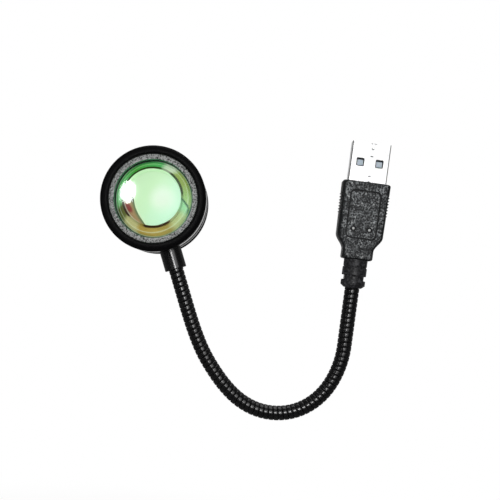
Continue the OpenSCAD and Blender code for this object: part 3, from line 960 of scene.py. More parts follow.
@dataclass(frozen=True)
class ClearGlass(Finish):
    """Coated clear glass: mostly see-through, with a faint mirror that grows at the rim."""

    mirror: float = 0.04
    rim: float = 0.35

    def build(self, g: Graph) -> bpy.types.Material:
        """The share that mirrors is the alpha, from the angle and a faint smear.

        Args:
            g: the material's graph.

        Returns:
            The material.
        """
        point = g.place()
        facing = g.signal(g.node("ShaderNodeLayerWeight", None, Blend=0.5), "Facing")
        smear = g.noise(point, 4.0, 2).step(0.45, 0.75)
        return g.dress(
            Base_Color=g.blend(g.noise(point, 6.0), (0.94, 1.0, 0.95), (0.86, 1.0, 0.92)),
            Metallic=1.0,
            Roughness=smear * 0.02 + 0.09,
            Alpha=facing ** 4 * self.rim + smear * 0.004 + self.mirror,
        )


@dataclass(frozen=True)
class Coating(Finish):
    """The colour coating behind the lens: a pale green disc in a ring that turns from green to gold, with painted
    highlights, painted reflections, painted shade along the disc's lip and a faint glow of painted light.

    Angles are parts of a turn from the left over the bottom and the right to the top.
    """

    centre: Sequence[float] = (0.0, 0.0, 0.0)
    turn: float = 0.0
    disc: float = 8.75
    off: Point = (-0.5, 0.75)
    rim: float = 11.85
    ring: Sequence[tuple[float, Colour]] = (
        (0.0, (0.14, 0.54, 0.20)), (0.025, (0.13, 0.46, 0.15)), (0.04, (0.085, 0.10, 0.018)),
        (0.09, (0.13, 0.15, 0.034)), (0.11, (0.50, 0.50, 0.22)), (0.165, (0.54, 0.53, 0.24)),
        (0.185, (0.44, 0.32, 0.066)), (0.26, (0.50, 0.38, 0.09)), (0.33, (0.42, 0.35, 0.09)),
        (0.355, (0.54, 0.62, 0.27)), (0.43, (0.42, 0.62, 0.27)), (0.5, (0.33, 0.60, 0.19)),
        (0.56, (0.26, 0.38, 0.06)), (0.625, (0.30, 0.42, 0.085)), (0.65, (0.62, 0.76, 0.54)),
        (0.685, (0.54, 0.74, 0.49)), (0.71, (0.08, 0.48, 0.12)), (0.84, (0.055, 0.36, 0.04)),
        (0.9, (0.09, 0.48, 0.12)), (1.0, (0.14, 0.54, 0.20)))
    # how dark the painted shade along the disc's lip is, by angle
    lips: Sequence[Point] = (
        (0.0, 0.2), (0.03, 0.9), (0.1, 1.0), (0.12, 0.1), (0.19, 0.1), (0.21, 0.9), (0.335, 0.95), (0.355, 0.2),
        (0.5, 0.25), (0.53, 0.9), (0.635, 0.9), (0.655, 0.3), (0.69, 0.3), (0.715, 1.0), (0.9, 0.9), (0.93, 0.2),
        (1.0, 0.2))

    def build(self, g: Graph) -> bpy.types.Material:
        """Colours by angle and radius round the lens's axis.

        Args:
            g: the material's graph.

        Returns:
            The material.
        """
        local = g.mapped(g.place(), shift=self.centre, turn=(0, self.turn, 0), kind="TEXTURE")
        x, z = local.axis("X") / MM, local.axis("Z") / MM
        inner = x.length(z).step(self.disc + 0.6, self.rim - 0.6, 1.0, 0.0)
        x, z = x - inner * self.off[0], z - inner * self.off[1]
        radius, wave = x.length(z), g.noise(local, 3.0) - 0.5
        angle = z.math("ARCTAN2", x) / (2 * math.pi) + 0.5
        bent = angle + wave * 0.02
        lips = g.ramp(bent, [(place, (level,) * 3) for place, level in self.lips])
        lip = (radius + wave * 0.2).near(self.disc + 0.36, 0.6) * lips
        # painted glint at the disc's edge
        glint = radius.near(self.disc - 0.05, 0.26) * angle.near(0.1, 0.1)
        colour = g.layered(self._disc(g, x, z, wave), (
            (radius.step(self.disc - 0.08, self.disc + 0.08), self._ring(g, radius, angle, bent)),
            # painted shade along the disc's lip, browner below and greener above
            (lip.step(0.0, 0.7), g.blend(z.step(-3.0, 3.0), (0.035, 0.018, 0.006), (0.02, 0.045, 0.006))),
            (glint * 0.9, (0.62, 0.58, 0.44)),
        ))
        fine = g.noise(local, 0.8)
        return g.dress(
            Base_Color=colour,
            Roughness=0.25 + fine * 0.1,
            Specular_IOR_Level=0.15,
            # the emission is painted light: the coating glows to look brighter than the lamps make it
            Emission_Color=colour,
            Emission_Strength=0.35,
            Normal=g.relief(fine, 0.006),
        )

    def _ring(self, g: Graph, radius: Signal, angle: Signal, bent: Signal) -> Signal:
        """Colours the ring: fields by angle, fine lines by radius, the pale ones painted reflections of the lens's
        rim, and a dark hook at its right.

        Args:
            g: the material's graph.
            radius: distance from the axis in millimetres.
            angle: part of a turn.
            bent: the same, with a slight waver.

        Returns:
            The ring's colour.
        """
        field_colour = g.ramp(bent, self.ring)
        body = radius.near(self.disc + 1.45, 1.5) * 0.9 + 0.1
        slant = angle - (10.96 - radius) * 0.0148
        corner = radius.step(10.7, 11.1, 1.0, 0.0)
        inside = angle.step(0.405, 0.445) * slant.step(0.448, 0.458, 1.0, 0.0)
        foot = radius.near(10.98, 0.32) * angle.step(0.42, 0.445) * angle.step(0.455, 0.465, 1.0, 0.0)
        hook = (slant.near(0.459, 0.012) * corner).math("MAXIMUM", foot)
        return g.layered(g.blend(0.42, field_colour, (0.03, 0.07, 0.012)), (
            (body, field_colour),
            # painted reflection of the lens's rim: a pale mint line
            (radius.near(self.rim - 1.25, 0.14) * 0.45, (0.70, 0.86, 0.60)),
            (radius.near(self.rim - 1.75, 0.12) * 0.25, (0.10, 0.16, 0.04)),
            # painted reflection of the lens's rim near its outer edge: a pale mint line
            (radius.near(self.rim - 0.42, 0.2) * 0.55, (0.55, 0.88, 0.60)),
            (angle.near(0.78, 0.11) * radius.step(self.rim - 0.95, self.rim - 0.45), (0.022, 0.15, 0.045)),
            (inside * corner * 0.7, (0.28, 0.72, 0.38)),
            (hook * 0.95, (0.012, 0.16, 0.07)),
            (radius.step(11.25, 11.45) * angle.near(0.44, 0.05) * 0.9, (0.03, 0.26, 0.22)),
        ))

    @staticmethod
    def _disc(g: Graph, x: Signal, z: Signal, wave: Signal) -> Signal:
        """Colours the pale disc, with a painted highlight right of its middle and a painted reflection, a dark patch
        with a red-brown core, at its left.

        Args:
            g: the material's graph.
            x: distance to the right of the axis in millimetres.
            z: distance above it.
            wave: a slow waver.

        Returns:
            The disc's colour.
        """
        mint = (x * 0.8 - z * 0.5 + wave * 3).step(-2.0, 7.0)
        # painted highlight: a pale hot spot right of the middle
        glow = (x - 3.2).length(z + 0.6).step(0.6, 5.6, 1.0, 0.0)
        drop = -0.7 - z
        chord = x + 5.6 - drop * 0.10 - drop * drop * 0.045 + wave * 0.4
        along, across = x * 0.56 - z * 0.83, x * 0.83 + z * 0.56
        red = ((along + 1.5) / 2.2).length(across + 7.8).step(0.5, 1.15, 1.0, 0.0)
        # painted reflection at the left: tan to olive, dark at its top, with a red-brown core
        reflected_patch = g.layered(g.blend(chord.step(-1.3, -0.1), (0.36, 0.25, 0.12), (0.13, 0.20, 0.09)), (
            (z.step(-1.9, -1.0), (0.035, 0.02, 0.012)),
            (red, (0.25, 0.05, 0.04)),
        ))
        return g.layered(g.blend(mint, (0.60, 0.89, 0.55), (0.61, 0.97, 0.69)), (
            (glow * 0.85, (0.82, 0.96, 0.80)),
            # a pale painted reflection line along the patch's edge
            (chord.near(0.25, 0.3) * z.step(-2.0, 0.0, 0.5, 0.0), (0.86, 0.90, 0.60)),
            (chord.step(-0.12, 0.12, 1.0, 0.0) * z.step(0.6, 2.2, 1.0, 0.0), reflected_patch),
        ))


class Look(Enum):
    """Every finish on the lamp."""

    NICKEL = Metal("plated nickel", "shell_nickel", (0.86, 0.865, 0.87), (0.80, 0.80, 0.80), (0.16, 0.3))
    PALE = Moulded("pale insulator", "pale_plastic", (0.60, 0.70, 0.80), (0.74, 0.82, 0.90), 0.3, 0.006,
                   (0.35, 0.5), scatter=0.1)
    # cut edges of bare steel, made darker than bare steel is, as painted shade along the windows and the seam
    SHEARED = Metal("sheared steel edge", "shell_nickel", (0.16, 0.165, 0.17), (0.1, 0.1, 0.1), (0.35, 0.5))
    # painted shade: near-black plastic deep in the latch pockets, where the shell's windows shade the tongue
    POCKET = Moulded("latch pocket", "pale_plastic", (0.02, 0.023, 0.027), (0.06, 0.066, 0.072), 0.3, 0.006)
    GOLD = Metal("gold plate", "contact_gold", (0.95, 0.68, 0.28), (0.90, 0.60, 0.22))
    SOLDER = Metal("solder", "solder", (0.70, 0.70, 0.71), (0.55, 0.56, 0.58), (0.25, 0.5), (1, 1, 1), 0.01)
    GRIP = Hide("grained grip", "grip_plastic")
    RELIEF = Moulded("strain relief", "relief_plastic", (0.010, 0.010, 0.0115), (0.085, 0.086, 0.094), 0.62, 0.035,
                     (0.3, 0.5), shine=0.45)
    RED = Moulded("red insulation", "lead_red", (0.55, 0.02, 0.015), (0.65, 0.05, 0.03), 0.2, 0.003)
    BLACK = Moulded("black insulation", "lead_black", (0.01, 0.01, 0.011), (0.03, 0.03, 0.032), 0.2, 0.003)
    # painted glint: the pin marks are pale so that they read as bright points in the dark dimples
    PIN = Moulded("pin mark painted glint", "grip_plastic", (0.62, 0.63, 0.62), (0.9, 0.9, 0.88), 0.1, 0.004, (0.3, 0.5))
    NECK = Winding("black winding", "neck_black")
    FERRULE = Lacquer("ferrule lacquer", "ferrule_black", (0.004, 0.004, 0.0045), 0.22, 1.0, 0.4)
    BRASS = Metal("turned brass", "nut_brass", (0.83, 0.58, 0.25), (0.70, 0.46, 0.18), (0.2, 0.4), (1, 6, 6))
    HOUSING = Lacquer("housing lacquer", "housing_black", (0.004, 0.004, 0.0045), 0.1, 0.5, 0.8)
    BARREL = Lacquer("turned barrel", "housing_black", (0.004, 0.004, 0.0045), 0.06, 0.5, 0.0,
                     bands=((-5.4, 0.5), (0.2, 0.22), (2.4, 0.6)))
    BEZEL = Lacquer("satin bezel", "bezel_black", (0.003, 0.003, 0.0035), 0.42, 0.1, 0.0, 0.006)
    RING = Blasted("blasted ring", "ring_grey")
    # painted reflection: the bore wall is green, as if it mirrored the coating, where it would otherwise lie in shade
    BORE = Moulded("ring bore painted reflection", "ring_grey", (0.02, 0.13, 0.06), (0.14, 0.48, 0.28), 0.8, 0.006, (0.3, 0.45))
    GLASS = ClearGlass("coated lens", "lens_glass")
    GLASS_BACK = ClearGlass("lens back", "lens_glass", 0.008, 0.08)
    RUBBER = Moulded("gasket rubber", "gasket_rubber", (0.012, 0.012, 0.012), (0.03, 0.03, 0.03), 0.2, 0.01)
    REFLECTOR = Metal("vapour-coated reflector", "reflector_metal", (0.90, 0.90, 0.90), (0.85, 0.86, 0.88),
                      (0.06, 0.14), (1, 1, 1))
    PHOSPHOR = Moulded("phosphor", "emitter_yellow", (0.85, 0.62, 0.08), (0.95, 0.78, 0.20), 0.15, 0.01)
    BOARD = Moulded("white solder mask", "board_white", (0.80, 0.80, 0.78), (0.86, 0.86, 0.85), 0.3, 0.004)
    CHIP = Moulded("resistor ceramic", "resistor_black", (0.015, 0.015, 0.016), (0.05, 0.05, 0.05), 0.2, 0.006)
    SINK = Metal("aluminium", "sink_aluminium", (0.72, 0.73, 0.74), (0.62, 0.63, 0.65), (0.28, 0.5), (1, 6, 1))
    SCREW = Metal("screw steel", "screw_steel", (0.24, 0.24, 0.25), (0.16, 0.16, 0.17), (0.2, 0.4), (4, 1, 4))

    @property
    def slot(self) -> str:
        """The record's slot that the finish stands for."""
        return self.value.slot

    def make(self) -> bpy.types.Material:
        """Builds the finish's material, once."""
        return self.value.make()


Dress = Union[Finish, Look]


# ------------------------------------------------------------------ putting pieces in place
def dressed(obj: Object, looks: Sequence[Dress], place: Optional[Matrix] = None, smooth: float = 32,
            flat: bool = True) -> Object:
    """Puts a piece in its place, in metres, and gives it its finishes.

    Args:
        obj: the piece, modelled in millimetres.
        looks: its finishes, one for each of its material numbers.
        place: where its own frame stands in the lamp's, in millimetres.
        smooth: edges under this angle are shaded smooth.
        flat: whether the larger faces keep their own shading beside rounded edges.

    Returns:
        The same piece.
    """
    obj.data.transform(Matrix.Scale(MM, 4) @ (place or Matrix.Identity(4)))
    numbers = [min(face.material_index, len(looks) - 1) for face in obj.data.polygons]
    obj.data.materials.clear()
    for look in looks:
        obj.data.materials.append(look.make())
    obj.data.polygons.foreach_set("material_index", numbers)
    take(obj)
    bpy.ops.object.shade_smooth_by_angle(angle=math.radians(smooth))
    if flat:
        modify(obj, "WEIGHTED_NORMAL", mode="FACE_AREA", weight=100, keep_sharp=True)
    looks[0].slot
    return obj


def report(obj: Object, body: str) -> None:
    """Logs a finished piece and what it moves with."""
    LOG.info("%-24s %6d faces, moves with %s", obj.name, len(obj.data.polygons), body)


def seat(obj: Object, body: str, *nodes: str) -> Object:
    """Lets a finished piece ride on a body and stand for CAD nodes.

    Args:
        obj: the piece.
        body: the body it moves with.
        nodes: the CAD nodes that it stands for.

    Returns:
        The same piece.
    """
    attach(obj, body)
    if nodes:
        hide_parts(*nodes)
    report(obj, body)
    return obj


def paint(nodes: dict[str, Object], look: Dress, *names: str) -> None:
    """Gives CAD nodes a finish.

    Args:
        nodes: the frame's nodes.
        look: the finish.
        names: the nodes to paint.
    """
    for name in names:
        obj = nodes[name]
        if not obj.material_slots:
            obj.data.materials.append(None)
        for slot in obj.material_slots:
            slot.material = look.make()


# ------------------------------------------------------------------ the plug
@dataclass
class UsbConnector:
    """The folded metal shell, its insulator and the contacts."""

    width: float = 12.0
    thick: float = 4.5
    wall: float = 0.3
    corner: float = 0.36
    reach: float = 12.4
    held: float = 6.3
    window: Point = (2.45, 2.6)
    window_spacing: float = 5.95
    window_z: float = 6.1
    tongue_thick: float = 1.85
    block_top: float = -1.0
    contacts: Sequence[Point] = ((-3.5, 1.4), (3.5, 1.4), (-1.0, 2.4), (1.0, 2.4))  # across, and below the mouth
    contact_half: float = 0.51
    seam_r: float = 0.02
    seam_x: float = 0.4
    tick_r: float = 0.17
    ticks: Sequence[float] = (10.42, 8.12, 1.93)

    def shell(self) -> Object:
        """Makes the shell: a rolled tube with windows, a dovetailed seam and a rounded mouth.

        Returns:
            The shell.
        """
        section = (self.width, self.thick)
        shell = loft("usb_shell_folded", [(self.reach, *section), (-self.held, *section)], self.corner)
        with editing(shell, "FACE"):
            pick(shell, "faces", lambda f: abs(f.normal.z) > 0.9)
            bpy.ops.mesh.delete(type="FACE")
        modify(shell, "SOLIDIFY", thickness=self.wall, offset=-1, use_even_offset=True)
        tidy(shell)
        for side in (-1, 1):
            tool = loft("window_tool", [(-4, *self.window), (4, *self.window)], 0.4, 4)
            carve(shell, turned(tool, "X", 90, (side * self.window_spacing / 2, 0, self.window_z)))
        for line in self.seams():
            carve(shell, line)
        return split(soften(shell, 0.05, 2, 40), self.is_sheared)

    def seams(self) -> list[Object]:
        """Makes thin round tools: one follows the seam, the others the ends of its dovetails.

        Returns:
            The tools.
        """
        x, tick = self.seam_x, self.tick_r
        runs = [(self.seam_r, [(x, self.reach + 1), (x, -self.held - 1)])]
        runs += [(tick, [(x - 0.44, z + 0.12), (x, z), (x + 0.44, z + 0.06)]) for z in self.ticks]
        runs += [(tick * 0.8, [(x + off - 0.2, 12.1), (x + off + 0.2, 12.12)]) for off in (-0.4, 0.8)]
        return [tube("seam_tool", radius, [(across, -self.thick / 2, z) for across, z in route], 1)
                for radius, route in runs]

    def is_sheared(self, face: bpy.types.MeshPolygon) -> bool:
        """Says whether a face of the shell is cut metal, in a window or in the seam, which takes the dark cut-edge
        finish with its painted shade.

        Args:
            face: the face.

        Returns:
            Whether it is.
        """
        x, y, z = (abs(v) for v in face.center)
        half = self.thick / 2
        window = 1.5 < x < 4.4 and abs(face.center.z - self.window_z) < 1.5 and abs(face.normal.y) < 0.3
        seam = x < 1.5 and z < self.reach - 0.02 and y < half - 0.01
        return y > half - self.wall - 0.02 and (window or seam)

    def insulator(self) -> Object:
        """Makes the tongue with its block and the latch pockets behind the windows, whose deep faces take painted
        shade.

        Returns:
            The insulator.
        """
        half_w, half_t = (size / 2 - self.wall - 0.02 for size in (self.width, self.thick))
        low, face = (-half_w, -half_t, -self.held), self.tongue_thick - half_t
        tongue = block("usb_insulator", low, (half_w, face, self.reach - 0.4))
        carve(tongue, block("block_tool", low, (half_w, half_t, self.block_top)), "UNION")
        for x, below in self.contacts:
            carve(tongue, block("contact_tool", (x - self.contact_half, face - 0.11, -self.held - 1),
                                (x + self.contact_half, face + 0.16, self.reach - below + 0.02)))
        top = self.window_z + self.window[1] / 2
        for x in (-self.window_spacing / 2, self.window_spacing / 2):
            moat = block("window_seat_tool", (x - 1.6, -half_t - 1, top - 3.0), (x + 1.6, -half_t + 0.5, top + 0.4))
            pad = block("pad_tool", (x - 0.98, -half_t + 0.1, top - 2.34), (x + 0.98, 1, top - 0.55))
            carve(tongue, carve(moat, soften(pad, 0.14)))
        return split(soften(tongue, 0.1, 2, 40), self.is_pocket)

    def is_pocket(self, face: bpy.types.MeshPolygon) -> bool:
        """Says whether a face of the insulator lies deep in a latch pocket, where it takes the painted shade.

        Args:
            face: the face.

        Returns:
            Whether it does.
        """
        depth = face.center.y + self.thick / 2 - self.wall - 0.02
        x, z = abs(face.center.x) - self.window_spacing / 2, face.center.z - self.window_z
        return 0.18 < depth < 0.52 and abs(x) < 1.65 and abs(z) < 1.75

    def build(self, nodes: dict[str, Object]) -> None:
        """Makes and dresses the connector.

        Args:
            nodes: the frame's nodes.
        """
        seat(dressed(self.shell(), [Look.NICKEL, Look.SHEARED]), "plug", "usb_shell")
        seat(dressed(self.insulator(), [Look.PALE, Look.POCKET]), "plug", "usb_tongue")
        paint(nodes, Look.GOLD, "usb_power_contacts", "usb_data_contacts")
        paint(nodes, Look.SOLDER, "plug_solder_joints")
        paint(nodes, Look.PALE, "plug_core")


@dataclass
class Grip:
    """The moulded grip and the strain relief behind it."""

    length: float = 24.1
    front: Point = (14.9, 8.0)
    back_w: float = 14.3
    tail: Point = (9.6, 7.4)
    shoulder: Point = (16.6, 4.6)
    corner: float = 1.5
    edge: float = 0.6
    panel: Point = (9.5, 14.9)
    panel_z: float = -10.25
    panel_depth: float = 0.25
    gutter: Point = (0.38, 0.22)
    pin: Point = (2.5, -14.75)
    dimple: float = 0.9
    ridges: int = 7
    ridge_pitch: float = 0.95
    ridge_from: float = 4.1
    ridge_r: float = 0.2
    ridge_seat: float = 0.3
    relief_end: float = -33.0
    relief_bore: float = 2.33

    def side(self, depth: float) -> float:
        """Width of the grip at a distance behind its front."""
        share = (depth - self.edge) / (self.shoulder[0] - self.edge)
        return self.front[0] + (self.back_w - self.front[0]) * share

    def rows(self) -> list[Triple]:
        """Lists the sections from the front face to the tail.

        Returns:
            Height, width and thickness of each.
        """
        width, thick = self.front
        rows = []
        for k in range(5):
            a = math.radians(90 * k / 4)
            inset = 2 * self.edge * (1 - math.sin(a))
            rows.append((-self.edge * (1 - math.cos(a)), width - inset, thick - inset))
        for k in range(13):
            u = k / 12
            ease = u * u * (3 - 2 * u)
            rows.append((-self.shoulder[0] - u * self.shoulder[1], self.back_w + (self.tail[0] - self.back_w) * ease,
                         thick + (self.tail[1] - thick) * ease))
        for k in range(4):
            a = math.radians(90 * k / 3)
            inset = 2 * self.edge * (1 - math.cos(a))
            rows.append((-self.length + self.edge * (1 - math.sin(a)), self.tail[0] - inset, self.tail[1] - inset))
        return rows

    def moulding(self) -> Object:
        """Makes the grip with its ridges, panel and dimples, and the hole for the shell.

        Returns:
            The grip, marked with its wear and painted edge shade.
        """
        grip = loft("grip_moulding", self.rows(), self.corner)
        self.put_ridges(grip)
        self.sink_panel(grip)
        carve(grip, loft("shell_tool", [(1, 12.04, 4.54), (-6.4, 12.04, 4.54)], 0.38))
        return marked(soften(grip, 0.09, 2, 38), "wear", self.wear)

    def put_ridges(self, grip: Object) -> None:
        """Cuts a seat in each side of the grip and puts the finger ridges in it.

        Args:
            grip: the moulding.
        """
        half = self.front[1] / 2 - self.corner + 0.2
        bar = rod("ridge", self.ridge_r + 0.08, -half, half, sides=16)
        with editing(bar):
            everything()
            bpy.ops.transform.resize(value=(1.5, 1, 1), center_override=(0, 0, 0))
        soften(bar, 0.12)
        depths = [self.ridge_from + i * self.ridge_pitch for i in range(self.ridges)]
        bars = spread(bar, [("X", 90, (s * (self.side(depth) / 2 - 0.26), 0, -depth))
                            for s in (-1, 1) for depth in depths])
        first, last = depths[0] - 0.5, depths[-1] + 0.5
        inner = self.side((first + last) / 2) / 2 - self.ridge_seat
        seats = []
        for s in (-1, 1):
            low, high = sorted((s * inner, s * 9))
            seats.append(soften(block("seat_tool", (low, -5, -last), (high, 5, -first)), 0.15))
        carve(grip, joined("seats", seats))
        carve(grip, joined("ridges", bars), "UNION")

    def sink_panel(self, grip: Object) -> None:
        """Sinks the panel with its gutter and the dimples, and puts the gate mark on the front.

        Args:
            grip: the moulding.
        """
        face, (wide, deep) = -self.front[1] / 2, self.gutter
        place = (0, face + self.panel_depth, self.panel_z)
        lip, floor = ([side + more for side in self.panel] for more in (0.3, -2 * wide))
        tool = loft("panel_tool", [(0, *self.panel), (self.panel_depth, *lip), (1.5, *lip)], 1.5, 8)
        carve(grip, turned(tool, "X", 90, place))
        ring = loft("gutter_tool", [(-deep, *self.panel), (0.1, *self.panel)], 1.49, 8)
        carve(ring, loft("panel_floor", [(-1, *floor), (1, *floor)], 1.15, 8))
        carve(grip, turned(ring, "X", 90, place))
        gate = soften(rod("gate", 0.45, -0.5, 0.2, sides=20), 0.1)
        carve(grip, turned(gate, "X", 0, (0.2, face + 0.75, 0)), "UNION")
        pit = rod("pin_tool", self.dimple, -self.panel_depth - 0.45, 1, sides=24)
        for tool in spread(pit, [("X", 90, (x, face, self.pin[1])) for x in (-self.pin[0], self.pin[0])]):
            carve(grip, tool)

    def wear(self, face: bpy.types.MeshPolygon) -> float:
        """Says how worn a face of the moulding is: open faces are, rounded edges and grooves aren't and stay dark as
        painted shade.

        Args:
            face: the face.

        Returns:
            The wear, from 0 to 1.
        """
        floor = self.front[1] / 2 - self.panel_depth
        x, z = abs(face.center.x), abs(face.center.z - self.panel_z)
        # faces sunk in the panel's gutter and the dimples get painted shade
        sunk = abs(face.center.y) < floor - 0.05 and x < self.panel[0] / 2 and z < self.panel[1] / 2
        return 0.0 if sunk else min(max((abs(face.normal.y) - 0.78) / 0.19, 0.0), 1.0)

    def pins(self) -> Object:
        """Makes the two rounded pin marks at the bottom of the dimples, pale as a painted glint.

        Returns:
            Both, as one piece.
        """
        bpy.ops.mesh.primitive_uv_sphere_add(segments=20, ring_count=12, radius=0.42)
        ball = fresh("pin_mark")
        with editing(ball):
            bisect((0, 0.08, 0), (0, 1, 0), use_fill=True, clear_outer=True)
        y = -self.front[1] / 2 + self.panel_depth + 0.36
        marks = spread(ball, [("Z", 0, (x, y, self.pin[1])) for x in (-self.pin[0], self.pin[0])])
        return tidy(joined("grip_pin_marks", marks))

    def relief(self) -> Object:
        """Makes the strain relief: sleeve, banded stretch, flexing slots and chamfered end.

        Returns:
            The sleeve.
        """
        bore, top, z = self.relief_bore, -self.length, self.relief_end
        outline = [(bore, top + 1.95), (2.93, top + 1.95), (2.93, top - 0.02), (3.62, top - 0.02), (3.7, top - 0.2),
                   (3.68, z + 6.8), (3.5, z + 6.62), (3.5, z + 6.5), (3.76, z + 6.3), (3.8, z + 6.1),
                   (3.8, z + 3.95), (3.7, z + 3.82), (3.5, z + 3.78), (3.5, z + 2.42), (3.7, z + 2.38),
                   (3.8, z + 2.2), (3.8, z + 0.85), (2.85, z + 0.1), (2.75, z), (bore, z)]
        sleeve = lathe("strain_relief_sleeve", outline, closed=True, steps=72)
        for s in (-1, 1):
            low, high = sorted((s * 2.95, s * 5))
            carve(sleeve, block("slot_tool", (low, -4.5, z + 2.4), (high, 4.5, z + 3.8)))
        return soften(sleeve, 0.08, 2, 38)

    def build(self, nodes: dict[str, Object]) -> None:
        """Makes and dresses the grip.

        Args:
            nodes: the frame's nodes.
        """
        seat(dressed(self.moulding(), [Look.GRIP]), "plug", "plug_grip")
        seat(dressed(self.pins(), [Look.PIN]), "plug")
        seat(dressed(self.relief(), [Look.RELIEF]), "plug", "strain_relief")
        paint(nodes, Look.BRASS, "neck_end_crimp")


# ------------------------------------------------------------------ the gooseneck
@dataclass
class Gooseneck:
    """The wound neck along its curve, and the two leads inside it."""

    bends: Sequence[float] = (0, 0, 0, 12, 12, 16, 18, 19, 18, 18, 15, 9, 5, 8, 4, 2, 0, 0)
    link: float = 6.1
    top: float = -33.0
    ferrule: float = 22.0
    crown: float = 2.3
    groove: float = 2.06
    bore: float = 1.3
    gap: float = 0.14
    flatness: int = 7
    turns: int = 4
    sides: int = 32
    lead_r: float = 0.5
    lead_off: float = 0.6
    margin: float = 0.4
    from_head: Sequence[int] = (7, 17)  # joints whose hinge ends are listed from the head's side first
    starts: list[Vector] = field(init=False, default_factory=list)
    headings: list[float] = field(init=False, default_factory=list)
    head: Matrix = field(init=False)

    def __post_init__(self) -> None:
        """Works out where each link starts, which way it points, and where the head hangs."""
        point, heading = Vector((0, 0, self.top)), 0.0
        for bend in self.bends:
            self.starts.append(point.copy())
            self.headings.append(heading)
            point = point + swung(self._arc(bend, self.link), heading)
            heading += bend
        centre = point + swung(Vector((0, 0, self.ferrule)), heading - 180)
        self.head = Matrix.Translation(centre) @ Matrix.Rotation(math.radians(heading - 180), 4, "Y")

    def _arc(self, bend: float, s: float) -> Vector:
        """Finds a point on a link's arc.

        Args:
            bend: the link's own bend in degrees.
            s: distance along it.

        Returns:
            The point, seen from the link's start.
        """
        if abs(bend) < 1e-9:
            return Vector((0, 0, -s))
        r = self.link * 180 / (math.pi * bend)
        a = math.radians(bend * s / self.link)
        return Vector((r * (math.cos(a) - 1), 0, -r * math.sin(a)))

    def at(self, s: float, x: float = 0.0, y: float = 0.0) -> Vector:
        """Finds a point at a distance along the neck and beside its middle.

        Args:
            s: distance from the strain relief's end.
            x: offset in the plane of the bend.
            y: offset across it.

        Returns:
            The point.
        """
        i = min(max(int(s // self.link), 0), len(self.bends) - 1)
        bend, u = self.bends[i], s - i * self.link
        local = self._arc(bend, u) + swung(Vector((x, y, 0)), bend * u / self.link)
        return self.starts[i] + swung(local, self.headings[i])

    def winding(self) -> Object:
        """Makes one straight link's length of winding, from height 0 down to -link, with flat ends.

        Returns:
            The length.
        """
        pitch, foot = self.link / self.turns, self.groove - 0.05
        rise = []
        for u in (-math.cos(math.pi * k / 12) for k in range(13)):
            bulge = math.sqrt(max(1 - abs(u) ** self.flatness, 0))
            rise.append((self.groove + (self.crown - self.groove) * bulge, pitch / 2 + (pitch - self.gap) / 2 * u))
        wire = drawn("neck_winding", [(foot, 0.0), *rise, (foot, pitch)], -self.link - 2 * pitch)
        modify(wire, "SCREW", angle=2 * math.pi, screw_offset=pitch, iterations=self.turns + 3, steps=self.sides,
               render_steps=self.sides, use_merge_vertices=True, merge_threshold=1e-4, axis="Z")
        with editing(wire):
            everything()
            bpy.ops.mesh.remove_doubles(threshold=1e-4)
            bisect((0, 0, 0), (0, 0, 1), clear_outer=True)
            bisect((0, 0, -self.link), (0, 0, -1), clear_outer=True)
            pick(wire, "edges", lambda e: e.is_boundary)
            extrude((0, 0, 0))
            shape = bmesh.from_edit_mesh(wire.data)
            for v in [v for v in shape.verts if v.select]:
                v.co.xy = v.co.xy.normalized() * self.bore
            bmesh.update_edit_mesh(wire.data)
            bpy.ops.mesh.bridge_edge_loops(number_cuts=4)
        return tidy(wire, 1e-5)

    def leads(self) -> Object:
        """Makes one straight link's length of both leads.

        Returns:
            Both, as one piece.
        """
        lead = rod("neck_lead", self.lead_r, -self.link, 0, sides=12)
        with editing(lead):
            for k in range(1, 5):
                bisect((0, 0, -self.link * k / 5), (0, 0, 1))
        pair = spread(lead, [("Z", 0, (0, side * self.lead_off, 0)) for side in (1, -1)])
        return split(joined("neck_leads", pair), lambda face: face.center.y < 0)

    def laid(self, blank: Object, name: str, start: float, looks: Sequence[Dress]) -> Object:
        """Copies a straight length, lays it along the neck and dresses it.

        Args:
            blank: the straight length, from height 0 down.
            name: the copy's name.
            start: where along the neck it starts.
            looks: its finishes.

        Returns:
            The piece.
        """
        piece = twin(blank, name)
        for v in piece.data.vertices:
            v.co = self.at(start - v.co.z, v.co.x, v.co.y)
        return dressed(piece, looks, smooth=50, flat=False)

    def lead_tail(self, name: str, route: Sequence[Vector], look: Dress) -> Object:
        """Makes the free end of one lead as a smooth tube."""
        return dressed(tidy(tube(name, self.lead_r, route, 2, smooth=True), 1e-3), [look])

    def build(self) -> None:
        """Makes the neck and its leads, a length for each joint, and closes both ends."""
        coats = ((self.winding(), "winding", [Look.NECK]), (self.leads(), "leads", [Look.RED, Look.BLACK]))
        count = len(self.bends)
        names = [f"neck_link_{i:02d}" for i in range(1, count + 1)]
        bodies = ["plug", *(f"neck_{i:02d}" for i in range(2, count)), "head"]
        for i in range(count - 1):
            first, last = self.link * (i + 0.5), self.link * (i + 1.5)
            hinge = [(bodies[i], self.at(first + self.margin) * MM), (bodies[i + 1], self.at(last - self.margin) * MM)]
            if i + 1 in self.from_head:
                hinge.reverse()
            (near, start), (far, end) = hinge
            for blank, kind, looks in coats:
                piece = self.laid(blank, f"neck_{kind}_{i + 1:02d}", first, looks)
                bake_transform(piece)
                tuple(start)
                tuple(end)
                if kind == "winding":
                    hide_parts(names[i])
                report(piece, f"{bodies[i]} and {bodies[i + 1]}")
        for blank, kind, looks in coats:
            for end, body, begin in (("plug", "plug", -0.5), ("held", "plug", -1.5), ("head", "head", count - 0.5)):
                piece = self.laid(blank, f"neck_{kind}_{end}", self.link * begin, looks)
                seat(piece, body, *(names[-1:] if (kind, end) == ("winding", "head") else ()))
            bpy.data.objects.remove(blank)
        for side, look, node in ((1, Look.RED, "lead_positive"), (-1, Look.BLACK, "lead_negative")):
            self.end_lead(side, look, node)

